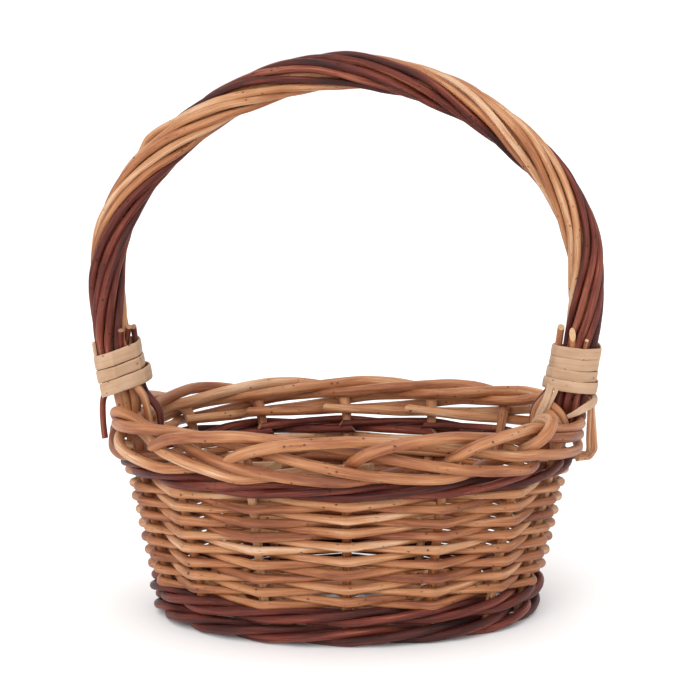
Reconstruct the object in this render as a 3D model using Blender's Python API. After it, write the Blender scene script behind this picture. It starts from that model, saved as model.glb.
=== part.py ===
"""An oval willow gathering basket with a fixed, roped bow handle. Metres, +Z up.

The origin is on the ground under the middle. X runs along the handle's span and Y from front to back.
The wall has sixteen posts, fourteen stakes and the two legs of the bow. The posts are numbered from the
front centre round by the right, and a place between two posts is a fraction of their numbers.
"""

import math

import bpy
from mathutils import Vector

# Wall: the ring of posts at the ground and at the height of the border's middle
FOOT_HALF_LENGTH = 0.0890
FOOT_HALF_WIDTH = 0.0630
RIM_HALF_LENGTH = 0.1091
RIM_HALF_WIDTH = 0.0815
POSTS = 16
BOW_POSTS = (4, 12)
QUARTER_SHARES = (0, 0.28, 0.55, 0.80, 1)
CLEARANCE = 0.0003

# Stakes, which the border turns down
STAKE_DIAMETER = 0.0046
STAKE_FOOT = 0.0030
STAKE_NECK = 0.0128

# Foot wale, of three dark rods in two rounds
FOOT_ROD = 0.0044
FOOT_PITCH = 0.0049
FOOT_ROUND_COUNT = 2
FOOT_START_POST = 7

# Randing, of one light rod a row
RANDING_ROD = 0.0037
RANDING_ROW_COUNT = 16
RANDING_START_POST = 6
PASS_HALF_FLAT = 0.0040
INNER_PASS_FIT = 0.0008
END_GAP = 0.0012

# Top wale, of three dark rods in one round
TOP_ROD = 0.0039
TOP_PITCH = 0.0044
TOP_START_POST = 9
WALE_ROD_COUNT = 3
WALE_CLIMB_POST_COUNT = 3
WALE_SWELL = 0.0014
WALE_FIT = 0.0006

# Border: the stakes turned down, each along four posts
BORDER_ROD = 0.0060
BORDER_DEPTH_SHARE = 1.03
BORDER_PATH_SHARES = (
    (-0.56, 1.11),
    (0, 1.43),
    (0.56, 1.11),
    (1, 0.48),
    (1, -0.16),
    (1.1, -0.8),
    (0, -BORDER_DEPTH_SHARE),
    (-1.1, -0.8),
)
BORDER_PAST_BOW_SHARES = (
    (-0.56, 1.11),
    (-1.6, 1.43),
    (-0.32, 1.5),
    (0.48, 1.27),
    (1, 0.48),
    (1.1, -0.64),
    (0, -BORDER_DEPTH_SHARE),
    (-1.1, -0.8),
)
BORDER_START_SHARE = 0.4
BORDER_SIDE_ROOM = 0.0008

# Bow: the thick rod inside the handle, whose thinned legs stand in the wall
BOW_DIAMETER = 0.0092
BOW_LEG_DIAMETER = 0.0060
BOW_FOOT_RISE = 0.0020
BOW_SWELL_DROP = 0.0048
ARCH_HALF_SPAN = 0.1195
ARCH_SPRING_RISE = 0.0772
ARCH_RISE = 0.1035
BOW_STEP = 0.0200

# Handle rods, roped round the bow
HANDLE_ROD = 0.0039
HANDLE_ROD_COUNT = 10
HANDLE_FIT = 0.0007
DARK_HANDLE_ROD_COUNT = 5
HANDLE_TURN_COUNT = 2.19
HANDLE_DARK_START_TURN_SHARE = 0.106
HANDLE_STATION_COUNT = 23
HANDLE_END_RISE = 0.0136
TAIL_SHOULDER_RISE = 0.0072
LEFT_TAIL_DROP = 0.0083
RIGHT_TAIL_BEND_DROP = 0.0093
RIGHT_TAIL_DROP = 0.0122

# Stays: short rods inside the bindings, which reach down inside the border
STAY_ROD = 0.0039
STAY_STUB = 0.0045
STAY_BEND_RISE = 0.0147
STAY_SHOULDER_RISE = 0.0082
STAY_DROP = 0.0048
STAY_SPREAD = 0.0055
STAY_SIDE_GAP = 0.0022

# Bindings of split cane, each one long strip
CANE_WIDTH = 0.0060
CANE_THICKNESS = 0.0011
CANE_PITCH = 0.0068
CANE_LOOP_POINT_COUNT = 24
CANE_FIT = 0.0009
BINDING_RISE = 0.0184
LEFT_BINDING_TURN_COUNT = 3.5
RIGHT_BINDING_TURN_COUNT = 3.75

# Base: long sticks with fanned ends over short ones, and two weavers that chase each other round them
BASE_STICK = 0.0044
BASE_SHORT_HEIGHT = 0.0065
BASE_FAN_PLACE = 0.0280
BASE_FAN_TURN_SHARES = (-0.125, 0, 0.125)
SHORT_STICK_PLACES = (-0.0220, 0, 0.0220)
BASE_WEAVER = 0.0038
BASE_WEAVER_PITCH = 0.0048
BASE_WEAVE_START = 0.0110
BASE_WEAVER_TURN_COUNT = 3.35
BASE_HALF_FLAT = 0.0026
BASE_EDGE_ROOM = 0.0009

LIGHT_WILLOW = ("light_willow", (0.578, 0.283, 0.114), 0.55)
DARK_WILLOW = ("dark_willow", (0.127, 0.042, 0.032), 0.5)
PALE_CANE = ("pale_cane", (0.680, 0.456, 0.262), 0.5)

# Heights, stacked from the ground up
HEXAGON_FLAT_SHARE = math.cos(math.pi / 6)
FOOT_LOW = FOOT_ROD / 2 * HEXAGON_FLAT_SHARE
FOOT_TOP = FOOT_LOW * 2 + FOOT_PITCH * (2 * FOOT_ROUND_COUNT - 1)
RANDING_BOTTOM = FOOT_TOP + CLEARANCE
RANDING_PITCH = RANDING_ROD * HEXAGON_FLAT_SHARE + CLEARANCE
RANDING_TOP = RANDING_BOTTOM + RANDING_PITCH * RANDING_ROW_COUNT
TOP_LOW = RANDING_TOP + CLEARANCE + TOP_ROD / 2 * HEXAGON_FLAT_SHARE
TOP_TOP = TOP_LOW + TOP_PITCH + TOP_ROD / 2 * HEXAGON_FLAT_SHARE
BORDER_SPACING = BORDER_ROD + CLEARANCE
BORDER_HEIGHT = TOP_TOP + CLEARANCE + BORDER_ROD / 2 + BORDER_DEPTH_SHARE * BORDER_SPACING
LEAN = math.atan((RIM_HALF_LENGTH - FOOT_HALF_LENGTH) / BORDER_HEIGHT)
HANDLE_END_HEIGHT = BORDER_HEIGHT + HANDLE_END_RISE
BINDING_BOTTOM = BORDER_HEIGHT + BINDING_RISE
ARCH_SPRING_HEIGHT = BORDER_HEIGHT + ARCH_SPRING_RISE


def clear_scene():
    for old in list(bpy.data.objects):
        bpy.data.objects.remove(old)


def make_collection(name):
    collection = bpy.data.collections.new(name)
    bpy.context.scene.collection.children.link(collection)
    return collection


def make_material(name, colour, roughness):
    material = bpy.data.materials.new(name)
    material.use_nodes = True
    shader = material.node_tree.nodes["Principled BSDF"]
    shader.inputs["Base Color"].default_value = (*colour, 1)
    shader.inputs["Roughness"].default_value = roughness
    shader.inputs["Metallic"].default_value = 0
    return material


def post_angle(number):
    """The angle of a post on the oval. Posts lie closer together beside the bow."""
    quarter_posts = POSTS // 4
    quarter, step = divmod(number, quarter_posts)
    if quarter % 2:
        share = 1 - QUARTER_SHARES[quarter_posts - step]
    else:
        share = QUARTER_SHARES[step]
    return (quarter + share) * math.pi / 2


def wall_point(position, height, outward=0, along=0):
    """A point of the leaning wall, moved outward across it and along it."""
    number = math.floor(position)
    angle = post_angle(number)
    angle += (position - number) * (post_angle(number + 1) - angle)
    rise = height / BORDER_HEIGHT
    half_length = FOOT_HALF_LENGTH + (RIM_HALF_LENGTH - FOOT_HALF_LENGTH) * rise
    half_width = FOOT_HALF_WIDTH + (RIM_HALF_WIDTH - FOOT_HALF_WIDTH) * rise
    across = Vector((half_width * math.sin(angle), -half_length * math.cos(angle), 0)).normalized()
    beside = Vector((-across.y, across.x, 0))
    middle = Vector((half_length * math.sin(angle), -half_width * math.cos(angle), height))
    return middle + across * outward + beside * along


def post_diameter(number):
    return BOW_LEG_DIAMETER if number % POSTS in BOW_POSTS else STAKE_DIAMETER


def pass_reach(number, rod, fit=CLEARANCE):
    """How far a rod's middle lies from the ring of posts where it passes this post."""
    return (post_diameter(number) / 2 + rod / 2 + fit) / math.cos(LEAN)


def make_rod(name, points, diameters, material, collection, level=False):
    """A round rod of six sides. A level one keeps a flat side up and down."""
    curve = bpy.data.curves.new(name, "CURVE")
    curve.dimensions = "3D"
    curve.bevel_depth = max(diameters) / 2
    curve.bevel_resolution = 1
    curve.use_fill_caps = True
    curve.twist_mode = "Z_UP" if level else "MINIMUM"
    spline = curve.splines.new("POLY")
    spline.points.add(len(points) - 1)
    for knot, point, diameter in zip(spline.points, points, diameters):
        knot.co = (*point, 1)
        knot.radius = diameter / max(diameters)
    rod = bpy.data.objects.new(name, curve)
    curve.materials.append(material)
    collection.objects.link(rod)
    return rod


def smooth_path(points, steps):
    """Points on a Catmull-Rom curve through the given ones."""
    path = []
    last = len(points) - 1
    for index in range(last):
        before = points[max(index - 1, 0)]
        start, end = points[index], points[index + 1]
        after = points[min(index + 2, last)]
        for step in range(steps):
            share = step / steps
            pull = (end - before) / 2 * share
            bend = (before - start * 2.5 + end * 2 - after / 2) * share**2
            settle = ((start - end) * 1.5 + (after - before) / 2) * share**3
            path.append(start + pull + bend + settle)
    path.append(points[last])
    return path


def wale_station(rod_number, place, pitch, rod, start_post):
    """How far out and how high a wale rod lies at a place, counted in posts from the start.

    A rod passes in front of two posts, first below and then above its neighbour, and behind the third.
    """
    def at_half(half_steps):
        step, between = divmod(half_steps, 2)
        phase = (step + rod_number) % WALE_ROD_COUNT
        reach = pass_reach(start_post + step, rod, WALE_FIT)
        if between:
            return ((0, -pitch / 2), (reach + WALE_SWELL, 0), (0, pitch / 2))[phase]
        return ((-reach, 0), (reach, -pitch / 2), (reach, pitch / 2))[phase]

    whole = math.floor(place * 2)
    share = place * 2 - whole
    here, there = at_half(whole), at_half(whole + 1)
    return tuple(a + (b - a) * share for a, b in zip(here, there))


def wale_climb(place, rounds):
    """Rounds climbed at a place: level, with a step up just before each round's end."""
    done, within = divmod(place, POSTS)
    step_up = max(0, within - (POSTS - WALE_CLIMB_POST_COUNT)) / WALE_CLIMB_POST_COUNT
    return done + (step_up if done < rounds - 1 else 0)


def make_wale(name, rod, pitch, rounds, start_post, low_height, material, collection):
    """Three rods that chase each other. Low height is the middle of the lowest rod."""
    last_place = rounds * POSTS - (WALE_CLIMB_POST_COUNT if rounds > 1 else 0)
    places = [half / 2 for half in range(last_place * 2)]
    end_share = END_GAP / (wall_point(start_post + 1, low_height) - wall_point(start_post, low_height)).length
    places.append(last_place - end_share)
    for rod_number in range(WALE_ROD_COUNT):
        points = []
        for place in places:
            outward, rise = wale_station(rod_number, place, pitch, rod, start_post)
            climb = wale_climb(place, rounds) * 2 * pitch
            height = low_height + pitch / 2 + rise + climb
            points.append(wall_point(start_post + place, height, outward))
        make_rod(f"{name}_{rod_number + 1}", points, [rod] * len(points), material, collection, True)


def make_randing(material, collection):
    """Plain weave. A row passes every second post inside, and the next row the others."""
    for row in range(RANDING_ROW_COUNT):
        height = RANDING_BOTTOM + RANDING_PITCH * (row + 0.5)
        start_post = RANDING_START_POST + row % 2 + 2 * (row % 3)
        points = []
        for step in range(POSTS + 1):
            post = start_post + step
            if step % 2:
                reach = pass_reach(post, RANDING_ROD)
                points += [wall_point(post, height, reach, shift) for shift in (-PASS_HALF_FLAT, PASS_HALF_FLAT)]
            else:
                reach = -pass_reach(post, RANDING_ROD, INNER_PASS_FIT)
                shift = END_GAP / 2 if step == 0 else -END_GAP / 2 if step == POSTS else 0
                points.append(wall_point(post, height, reach, shift))
        diameters = [RANDING_ROD] * len(points)
        make_rod(f"randing_row_{row + 1:02d}", points, diameters, material, collection, True)


def border_reach(number, share):
    """How far out a border rod lies at a share of its spacing, wider where it passes the bow."""
    reach = share * BORDER_SPACING
    if number % POSTS in BOW_POSTS and number == int(number):
        least = BOW_DIAMETER / 2 + BORDER_ROD / 2 + BORDER_SIDE_ROOM
        return math.copysign(max(least, abs(reach)), reach)
    return reach


def make_stakes(material, collection):
    """Each stake stands in the wall and turns down into the border, over the next post and out."""
    for number in range(POSTS):
        if number in BOW_POSTS:
            continue
        past_bow = (number + 1) % POSTS in BOW_POSTS
        shares = BORDER_PAST_BOW_SHARES if past_bow else BORDER_PATH_SHARES
        turn = [wall_point(number, BORDER_HEIGHT - BORDER_START_SHARE * BORDER_SPACING)]
        for index, (out_share, rise_share) in enumerate(shares):
            position = number + (index + 1) / 2
            outward = border_reach(position, out_share)
            turn.append(wall_point(position, BORDER_HEIGHT + rise_share * BORDER_SPACING, outward))
        neck = [wall_point(number, height) for height in (STAKE_FOOT, BORDER_HEIGHT - STAKE_NECK)]
        turn = smooth_path(turn, 2)
        diameters = [STAKE_DIAMETER] * len(neck) + [BORDER_ROD] * len(turn)
        make_rod(f"stake_{number + 1:02d}", neck + turn, diameters, material, collection)


def bow_line(step):
    """Points of the bow's middle line from the left leg's foot over the arch to the right leg's foot."""
    wall_foot = Vector((FOOT_HALF_LENGTH, 0, 0))
    wall_run = Vector((RIM_HALF_LENGTH - FOOT_HALF_LENGTH, 0, BORDER_HEIGHT)) / BORDER_HEIGHT
    swell_height = BORDER_HEIGHT - BOW_SWELL_DROP
    wall_top = wall_foot + wall_run * swell_height
    spring = Vector((ARCH_HALF_SPAN, 0, ARCH_SPRING_HEIGHT))
    span = ARCH_SPRING_HEIGHT - swell_height
    half = [wall_foot + wall_run * (FOOT_TOP + BOW_FOOT_RISE)]
    steps = round(span / step)
    for index in range(steps):
        share = index / steps
        start = wall_top * (2 * share**3 - 3 * share**2 + 1)
        leave = wall_run * span * (share**3 - 2 * share**2 + share)
        end = spring * (3 * share**2 - 2 * share**3)
        arrive = Vector((0, 0, span)) * (share**3 - share**2)
        half.append(start + leave + end + arrive)
    quarter = math.pi / 2 * (ARCH_HALF_SPAN + ARCH_RISE) / 2
    steps = round(quarter / step)
    for index in range(steps):
        angle = math.pi / 2 * index / steps
        across, up = ARCH_HALF_SPAN * math.cos(angle), ARCH_RISE * math.sin(angle)
        half.append(Vector((across, 0, ARCH_SPRING_HEIGHT + up)))
    top = Vector((0, 0, ARCH_SPRING_HEIGHT + ARCH_RISE))
    left = [Vector((-point.x, 0, point.z)) for point in half]
    return left + [top] + half[::-1]


class BowGuide:
    """The bow's middle line by its length, with the direction that faces out of the arch."""

    def __init__(self):
        self.points = bow_line(BOW_STEP / 8)
        self.lengths = [0]
        for start, end in zip(self.points, self.points[1:]):
            self.lengths.append(self.lengths[-1] + (end - start).length)

    def at(self, length):
        index = 0
        while index < len(self.points) - 2 and self.lengths[index + 1] < length:
            index += 1
        start, end = self.points[index], self.points[index + 1]
        run = end - start
        share = (length - self.lengths[index]) / run.length
        outward = Vector((-run.z, 0, run.x)).normalized()
        return start + run * share, outward

    def length_at_height(self, height, right):
        """The length at which a leg passes a height."""
        for index, (start, end) in enumerate(zip(self.points, self.points[1:])):
            low, high = sorted((start.z, end.z))
            if low <= height <= high and (start.x > 0) == right:
                share = (height - start.z) / (end.z - start.z)
                return self.lengths[index] + share * (end - start).length
        return 0

    def beside(self, length, outward, front):
        middle, out = self.at(length)
        return middle + out * outward + Vector((0, -front, 0))


def make_bow(material, collection):
    points = bow_line(BOW_STEP)
    diameters = []
    for point in points:
        swell = (point.z - BORDER_HEIGHT + BOW_SWELL_DROP) / (HANDLE_END_RISE + BOW_SWELL_DROP)
        swell = min(max(swell, 0), 1)
        diameters.append(BOW_LEG_DIAMETER + (BOW_DIAMETER - BOW_LEG_DIAMETER) * swell)
    make_rod("handle_bow", points, diameters, material, collection)


def bow_side_reach():
    """The outer side of the border where it passes the bow, from the ring of posts."""
    return BOW_DIAMETER / 2 + BORDER_ROD + BORDER_SIDE_ROOM


def make_handle_rods(guide, light, dark, collection):
    """Ten rods roped round the bow. The outermost at each end runs on down outside the border."""
    start = guide.length_at_height(HANDLE_END_HEIGHT, False)
    end = guide.length_at_height(HANDLE_END_HEIGHT, True)
    radius = BOW_DIAMETER / 2 + HANDLE_ROD / 2 + HANDLE_FIT
    tail_reach = bow_side_reach() + CLEARANCE + HANDLE_ROD / 2
    top_side = pass_reach(BOW_POSTS[0], TOP_ROD, WALE_FIT) + TOP_ROD / 2
    for number in range(HANDLE_ROD_COUNT):
        is_dark = number < DARK_HANDLE_ROD_COUNT
        first_turn = HANDLE_DARK_START_TURN_SHARE + (number - DARK_HANDLE_ROD_COUNT // 2) / HANDLE_ROD_COUNT
        points = []
        for station in range(HANDLE_STATION_COUNT + 1):
            share = station / HANDLE_STATION_COUNT
            angle = 2 * math.pi * (first_turn + HANDLE_TURN_COUNT * share)
            length = start + (end - start) * share
            points.append(guide.beside(length, radius * math.cos(angle), radius * math.sin(angle)))
        starts_outside = abs((first_turn + 0.5) % 1 - 0.5) < 0.5 / HANDLE_ROD_COUNT
        ends_outside = abs((first_turn + HANDLE_TURN_COUNT + 0.5) % 1 - 0.5) < 0.5 / HANDLE_ROD_COUNT
        if starts_outside:
            rises = (-LEFT_TAIL_DROP, TAIL_SHOULDER_RISE)
            points = [wall_point(BOW_POSTS[1], BORDER_HEIGHT + rise, tail_reach) for rise in rises] + points
        if ends_outside:
            rises = (TAIL_SHOULDER_RISE, -RIGHT_TAIL_BEND_DROP)
            points += [wall_point(BOW_POSTS[0], BORDER_HEIGHT + rise, tail_reach) for rise in rises]
            foot_reach = top_side + HANDLE_ROD / 2 + CLEARANCE
            points.append(wall_point(BOW_POSTS[0], BORDER_HEIGHT - RIGHT_TAIL_DROP, foot_reach))
        name = f"handle_rod_{'dark' if is_dark else 'light'}_{number % DARK_HANDLE_ROD_COUNT + 1}"
        make_rod(name, points, [HANDLE_ROD] * len(points), dark if is_dark else light, collection)


def stay_reach():
    """How far a stay's middle lies inside the bow's middle line, just clear of the handle rods."""
    return BOW_DIAMETER / 2 + HANDLE_FIT + HANDLE_ROD + CLEARANCE + STAY_ROD / 2


def make_stay(name, guide, right, front, material, collection):
    """A short rod that the binding holds against the handle. Its foot reaches down inside the border."""
    post = BOW_POSTS[0] if right else BOW_POSTS[1]
    inside = -math.sqrt(stay_reach() ** 2 - front**2)
    turns = RIGHT_BINDING_TURN_COUNT if right else LEFT_BINDING_TURN_COUNT
    top = BINDING_BOTTOM + CANE_PITCH * turns + CANE_WIDTH / 2 + STAY_STUB
    bend = BORDER_HEIGHT + STAY_BEND_RISE
    points = []
    for height in (top, bend):
        points.append(guide.beside(guide.length_at_height(height, right), inside, front))
    for rise, spread in ((STAY_SHOULDER_RISE, STAY_SPREAD), (-STAY_DROP, STAY_SPREAD / 2)):
        point = wall_point(post, BORDER_HEIGHT + rise, inside - spread)
        points.append(Vector((point.x, -front, point.z)))
    make_rod(name, points, [STAY_ROD] * len(points), material, collection)


def make_binding(name, guide, right, turns, material, collection):
    """One strip of cane wound flat round the handle and its stays."""
    start = guide.length_at_height(BINDING_BOTTOM, right)
    upward = -1 if right else 1
    snug = BOW_DIAMETER / 2 + HANDLE_FIT + HANDLE_ROD + CANE_FIT + CANE_THICKNESS / 2
    bulge = STAY_ROD + CLEARANCE
    points = []
    for index in range(round(turns * CANE_LOOP_POINT_COUNT) + 1):
        turn = index / CANE_LOOP_POINT_COUNT
        angle = math.pi - 2 * math.pi * turn
        radius = snug + bulge * max(0, -math.cos(angle)) ** 2
        length = start + upward * CANE_PITCH * turn
        points.append(guide.beside(length, radius * math.cos(angle), radius * math.sin(angle)))
    curve = bpy.data.curves.new(name, "CURVE")
    curve.dimensions = "3D"
    curve.twist_mode = "Z_UP"
    curve.bevel_depth = CANE_THICKNESS / 2
    curve.bevel_resolution = 0
    curve.extrude = (CANE_WIDTH - CANE_THICKNESS) / 2
    curve.use_fill_caps = True
    spline = curve.splines.new("POLY")
    spline.points.add(len(points) - 1)
    for knot, point in zip(spline.points, points):
        knot.co = (*point, 1)
    binding = bpy.data.objects.new(name, curve)
    curve.materials.append(material)
    collection.objects.link(binding)
    gaps = []
    for index, point in enumerate(points):
        later = points[index + CANE_LOOP_POINT_COUNT // 2 :]
        gaps += [(point - other).length - CANE_WIDTH for other in later]
    print(f"{name}: least gap to itself {min(gaps) * 1000:.2f} mm")


def base_edge_reach(place, angle):
    """How far a stick reaches from a place on the long axis, in one direction, to the foot wale's inner side."""
    inner_side = pass_reach(0, FOOT_ROD, WALE_FIT) + FOOT_ROD / 2 + BASE_EDGE_ROOM
    rise = BASE_SHORT_HEIGHT / BORDER_HEIGHT
    half_length = FOOT_HALF_LENGTH + (RIM_HALF_LENGTH - FOOT_HALF_LENGTH) * rise - inner_side
    half_width = FOOT_HALF_WIDTH + (RIM_HALF_WIDTH - FOOT_HALF_WIDTH) * rise - inner_side
    across, along = math.sin(angle) / half_width, math.cos(angle) / half_length
    square = across**2 + along**2
    start = place / half_length
    return (math.sqrt((along * start) ** 2 + square * (1 - start**2)) - along * start) / square


def make_base_sticks(long_height, material, collection):
    """Long sticks lie side by side on the short ones, and fan out past the last of them."""
    lane = BASE_STICK + CLEARANCE
    middle = len(BASE_FAN_TURN_SHARES) // 2
    for number, turn_share in enumerate(BASE_FAN_TURN_SHARES):
        angle = turn_share * 2 * math.pi
        beside = (number - middle) * lane
        bend_reach = beside / math.sin(angle) if beside else lane
        right = []
        for reach in (bend_reach, base_edge_reach(BASE_FAN_PLACE, angle)):
            along, across = BASE_FAN_PLACE + reach * math.cos(angle), reach * math.sin(angle)
            right.append(Vector((along, across, long_height)))
        left = [Vector((-point.x, point.y, point.z)) for point in right]
        points = left[::-1] + right
        make_rod(f"base_long_stick_{number + 1}", points, [BASE_STICK] * len(points), material, collection)
    for number, place in enumerate(SHORT_STICK_PLACES):
        reach = base_edge_reach(abs(place) + BASE_STICK / 2, math.pi / 2)
        points = [Vector((place, side * reach, BASE_SHORT_HEIGHT)) for side in (-1, 1)]
        make_rod(f"base_short_stick_{number + 1}", points, [BASE_STICK] * 2, material, collection)


def stick_ends(long_height):
    """Each stick end that a round of weave crosses, as the place it points from, its direction and its height."""
    right = [(BASE_FAN_PLACE, 2 * math.pi * share, long_height) for share in BASE_FAN_TURN_SHARES]
    back = [(place, math.pi / 2, BASE_SHORT_HEIGHT) for place in SHORT_STICK_PLACES[::-1]]
    left = [(-place, angle + math.pi, height) for place, angle, height in right]
    front = [(-place, angle + math.pi, height) for place, angle, height in back]
    return right + back + left + front


def make_base_weavers(long_height, material, collection):
    """Two weavers pass over and under the stick ends in turn."""
    lift = BASE_STICK / 2 + BASE_WEAVER / 2 + CLEARANCE
    ends = stick_ends(long_height)
    for weaver in range(2):
        points = []
        for crossing in range(round(BASE_WEAVER_TURN_COUNT * len(ends))):
            rounds = 2 * crossing / len(ends) + weaver
            reach = BASE_WEAVE_START + rounds * BASE_WEAVER_PITCH
            place, angle, height = ends[crossing % len(ends)]
            side = 1 if (crossing + weaver) % 2 else -1
            across = Vector((math.cos(angle), math.sin(angle), 0))
            run = Vector((-across.y, across.x, 0)) * BASE_HALF_FLAT
            middle = Vector((place, 0, height + side * lift)) + across * reach
            points += [middle - run, middle + run]
        make_rod(f"base_weaver_{weaver + 1}", points, [BASE_WEAVER] * len(points), material, collection)


def main():
    clear_scene()
    basket = make_collection("mushroom_foraging_basket")
    light = make_material(*LIGHT_WILLOW)
    dark = make_material(*DARK_WILLOW)
    cane = make_material(*PALE_CANE)

    make_wale("foot_wale_rod", FOOT_ROD, FOOT_PITCH, FOOT_ROUND_COUNT, FOOT_START_POST, FOOT_LOW, dark, basket)
    make_randing(light, basket)
    make_wale("top_wale_rod", TOP_ROD, TOP_PITCH, 1, TOP_START_POST, TOP_LOW, dark, basket)
    make_stakes(light, basket)

    guide = BowGuide()
    make_bow(light, basket)
    make_handle_rods(guide, light, dark, basket)
    make_stay("left_handle_stay", guide, False, 0, dark, basket)
    make_stay("right_handle_stay_front", guide, True, STAY_SIDE_GAP, light, basket)
    make_stay("right_handle_stay_back", guide, True, -STAY_SIDE_GAP, dark, basket)
    make_binding("left_handle_binding", guide, False, LEFT_BINDING_TURN_COUNT, cane, basket)
    make_binding("right_handle_binding", guide, True, RIGHT_BINDING_TURN_COUNT, cane, basket)

    long_height = BASE_SHORT_HEIGHT + BASE_STICK + CLEARANCE
    make_base_sticks(long_height, light, basket)
    make_base_weavers(long_height, light, basket)


main()
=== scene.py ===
"""The looks of an oval willow gathering basket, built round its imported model. Metres, +Z up.

Every rod of the basket is made again along the line of its node, as a round rod that tapers, swells and
wanders a little, with bark grain that runs along it and slanting cuts at its ends. The posts of the wall
are numbered from the front centre round by the right, and a place between two posts is a fraction of their
numbers. A path is a list of stations. A station holds a place in X, Y and Z and the rod's radius there.
"""

import math
import random

import bmesh
import bpy
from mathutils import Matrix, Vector, noise


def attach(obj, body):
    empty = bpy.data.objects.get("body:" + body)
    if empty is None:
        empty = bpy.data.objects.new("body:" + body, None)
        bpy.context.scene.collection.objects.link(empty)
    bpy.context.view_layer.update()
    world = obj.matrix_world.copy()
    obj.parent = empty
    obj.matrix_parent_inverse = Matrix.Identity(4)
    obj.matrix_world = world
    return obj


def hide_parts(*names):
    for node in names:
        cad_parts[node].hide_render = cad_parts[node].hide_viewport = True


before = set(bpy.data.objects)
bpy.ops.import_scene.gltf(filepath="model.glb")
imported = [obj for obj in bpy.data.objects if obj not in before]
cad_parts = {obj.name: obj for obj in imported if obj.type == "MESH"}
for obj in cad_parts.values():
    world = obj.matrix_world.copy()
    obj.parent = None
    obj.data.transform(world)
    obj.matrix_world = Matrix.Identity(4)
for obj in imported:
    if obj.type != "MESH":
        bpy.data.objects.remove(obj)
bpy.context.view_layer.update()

MILLIMETRE = 0.001

# The wall, as the model has it
FOOT_HALF_LENGTH = 0.0890
FOOT_HALF_WIDTH = 0.0630
RIM_HALF_LENGTH = 0.1091
RIM_HALF_WIDTH = 0.0815
POSTS = 16
BOW_POSTS = (4, 12)
QUARTER_SHARES = (0, 0.28, 0.55, 0.80, 1)
STAKE_DIAMETER = 0.0046
BOW_LEG_DIAMETER = 0.0060
FOOT_ROD = 0.0044
FOOT_PITCH = 0.0049
FOOT_ROUNDS = 2
RANDING_ROD = 0.0037
RANDING_ROWS = 16
TOP_ROD = 0.0039
TOP_PITCH = 0.0044
BORDER_ROD = 0.0060
CLEARANCE = 0.0003
HEXAGON_FLAT_SHARE = math.cos(math.pi / 6)
FOOT_LOW = FOOT_ROD / 2 * HEXAGON_FLAT_SHARE
FOOT_TOP = FOOT_LOW * 2 + FOOT_PITCH * (2 * FOOT_ROUNDS - 1)
RANDING_PITCH = RANDING_ROD * HEXAGON_FLAT_SHARE + CLEARANCE
RANDING_TOP = FOOT_TOP + CLEARANCE + RANDING_PITCH * RANDING_ROWS
TOP_LOW = RANDING_TOP + CLEARANCE + TOP_ROD / 2 * HEXAGON_FLAT_SHARE
TOP_TOP = TOP_LOW + TOP_PITCH + TOP_ROD / 2 * HEXAGON_FLAT_SHARE
BORDER_SPACING = BORDER_ROD + CLEARANCE
BORDER_DEPTH_SHARE = 1.03
BORDER_HEIGHT = TOP_TOP + CLEARANCE + BORDER_ROD / 2 + BORDER_DEPTH_SHARE * BORDER_SPACING
LEAN = math.atan((RIM_HALF_LENGTH - FOOT_HALF_LENGTH) / BORDER_HEIGHT)

# How finely the rods are made, and how they swell and wander in waves per metre
ROD_SIDES = 14
STATION_STEP = 0.0014
GENTLE_BEND = 0.22
SHARP_BEND = 0.75
SWELL_WAVES = 55
FINE_SWELL_WAVES = 210
WANDER_WAVES = 42
CUT_REACH = 0.0036


def post_angle(number):
    """The angle of a post on the oval. Posts lie closer together beside the bow."""
    quarter_posts = POSTS // 4
    quarter, step = divmod(number, quarter_posts)
    share = 1 - QUARTER_SHARES[quarter_posts - step] if quarter % 2 else QUARTER_SHARES[step]
    return (quarter + share) * math.pi / 2


def angle_at(position):
    """The angle of a place between two posts."""
    number = math.floor(position)
    angle = post_angle(number)
    return angle + (position - number) * (post_angle(number + 1) - angle)


def wall_halves(height):
    """Half the length and half the width of the ring of posts at a height."""
    rise = height / BORDER_HEIGHT
    half_length = FOOT_HALF_LENGTH + (RIM_HALF_LENGTH - FOOT_HALF_LENGTH) * rise
    return half_length, FOOT_HALF_WIDTH + (RIM_HALF_WIDTH - FOOT_HALF_WIDTH) * rise


def wall_point(position, height, outward=0.0, along=0.0):
    """A point of the leaning wall, moved outward across it and along it."""
    angle = angle_at(position)
    half_length, half_width = wall_halves(height)
    across = Vector((half_width * math.sin(angle), -half_length * math.cos(angle), 0)).normalized()
    beside = Vector((-across.y, across.x, 0))
    middle = Vector((half_length * math.sin(angle), -half_width * math.cos(angle), height))
    return middle + across * outward + beside * along


def border_point(position, rise, outward, along=0.0):
    """A point by its rise over the border's height and its way outward and along the wall, in millimetres."""
    return wall_point(position, BORDER_HEIGHT + rise * MILLIMETRE, outward * MILLIMETRE, along * MILLIMETRE)


def station(point, radius):
    return Vector((point.x, point.y, point.z, radius))


def post_reach(number, rod, room=CLEARANCE):
    """How far a rod's middle lies from the ring of posts where it passes this post."""
    post = BOW_LEG_DIAMETER if number % POSTS in BOW_POSTS else STAKE_DIAMETER
    return (post / 2 + rod / 2 + room) / math.cos(LEAN)


def even_stations(path):
    """The same path with its stations evenly spaced."""
    made = [path[0]]
    left = STATION_STEP
    for start, end in zip(path, path[1:]):
        length = (end.xyz - start.xyz).length
        done = 0
        while length - done > left:
            done += left
            made.append(start.lerp(end, done / length))
            left = STATION_STEP
        left -= length - done
    if (made[-1].xyz - path[-1].xyz).length < STATION_STEP / 2:
        made.pop()
    made.append(path[-1])
    return made


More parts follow.
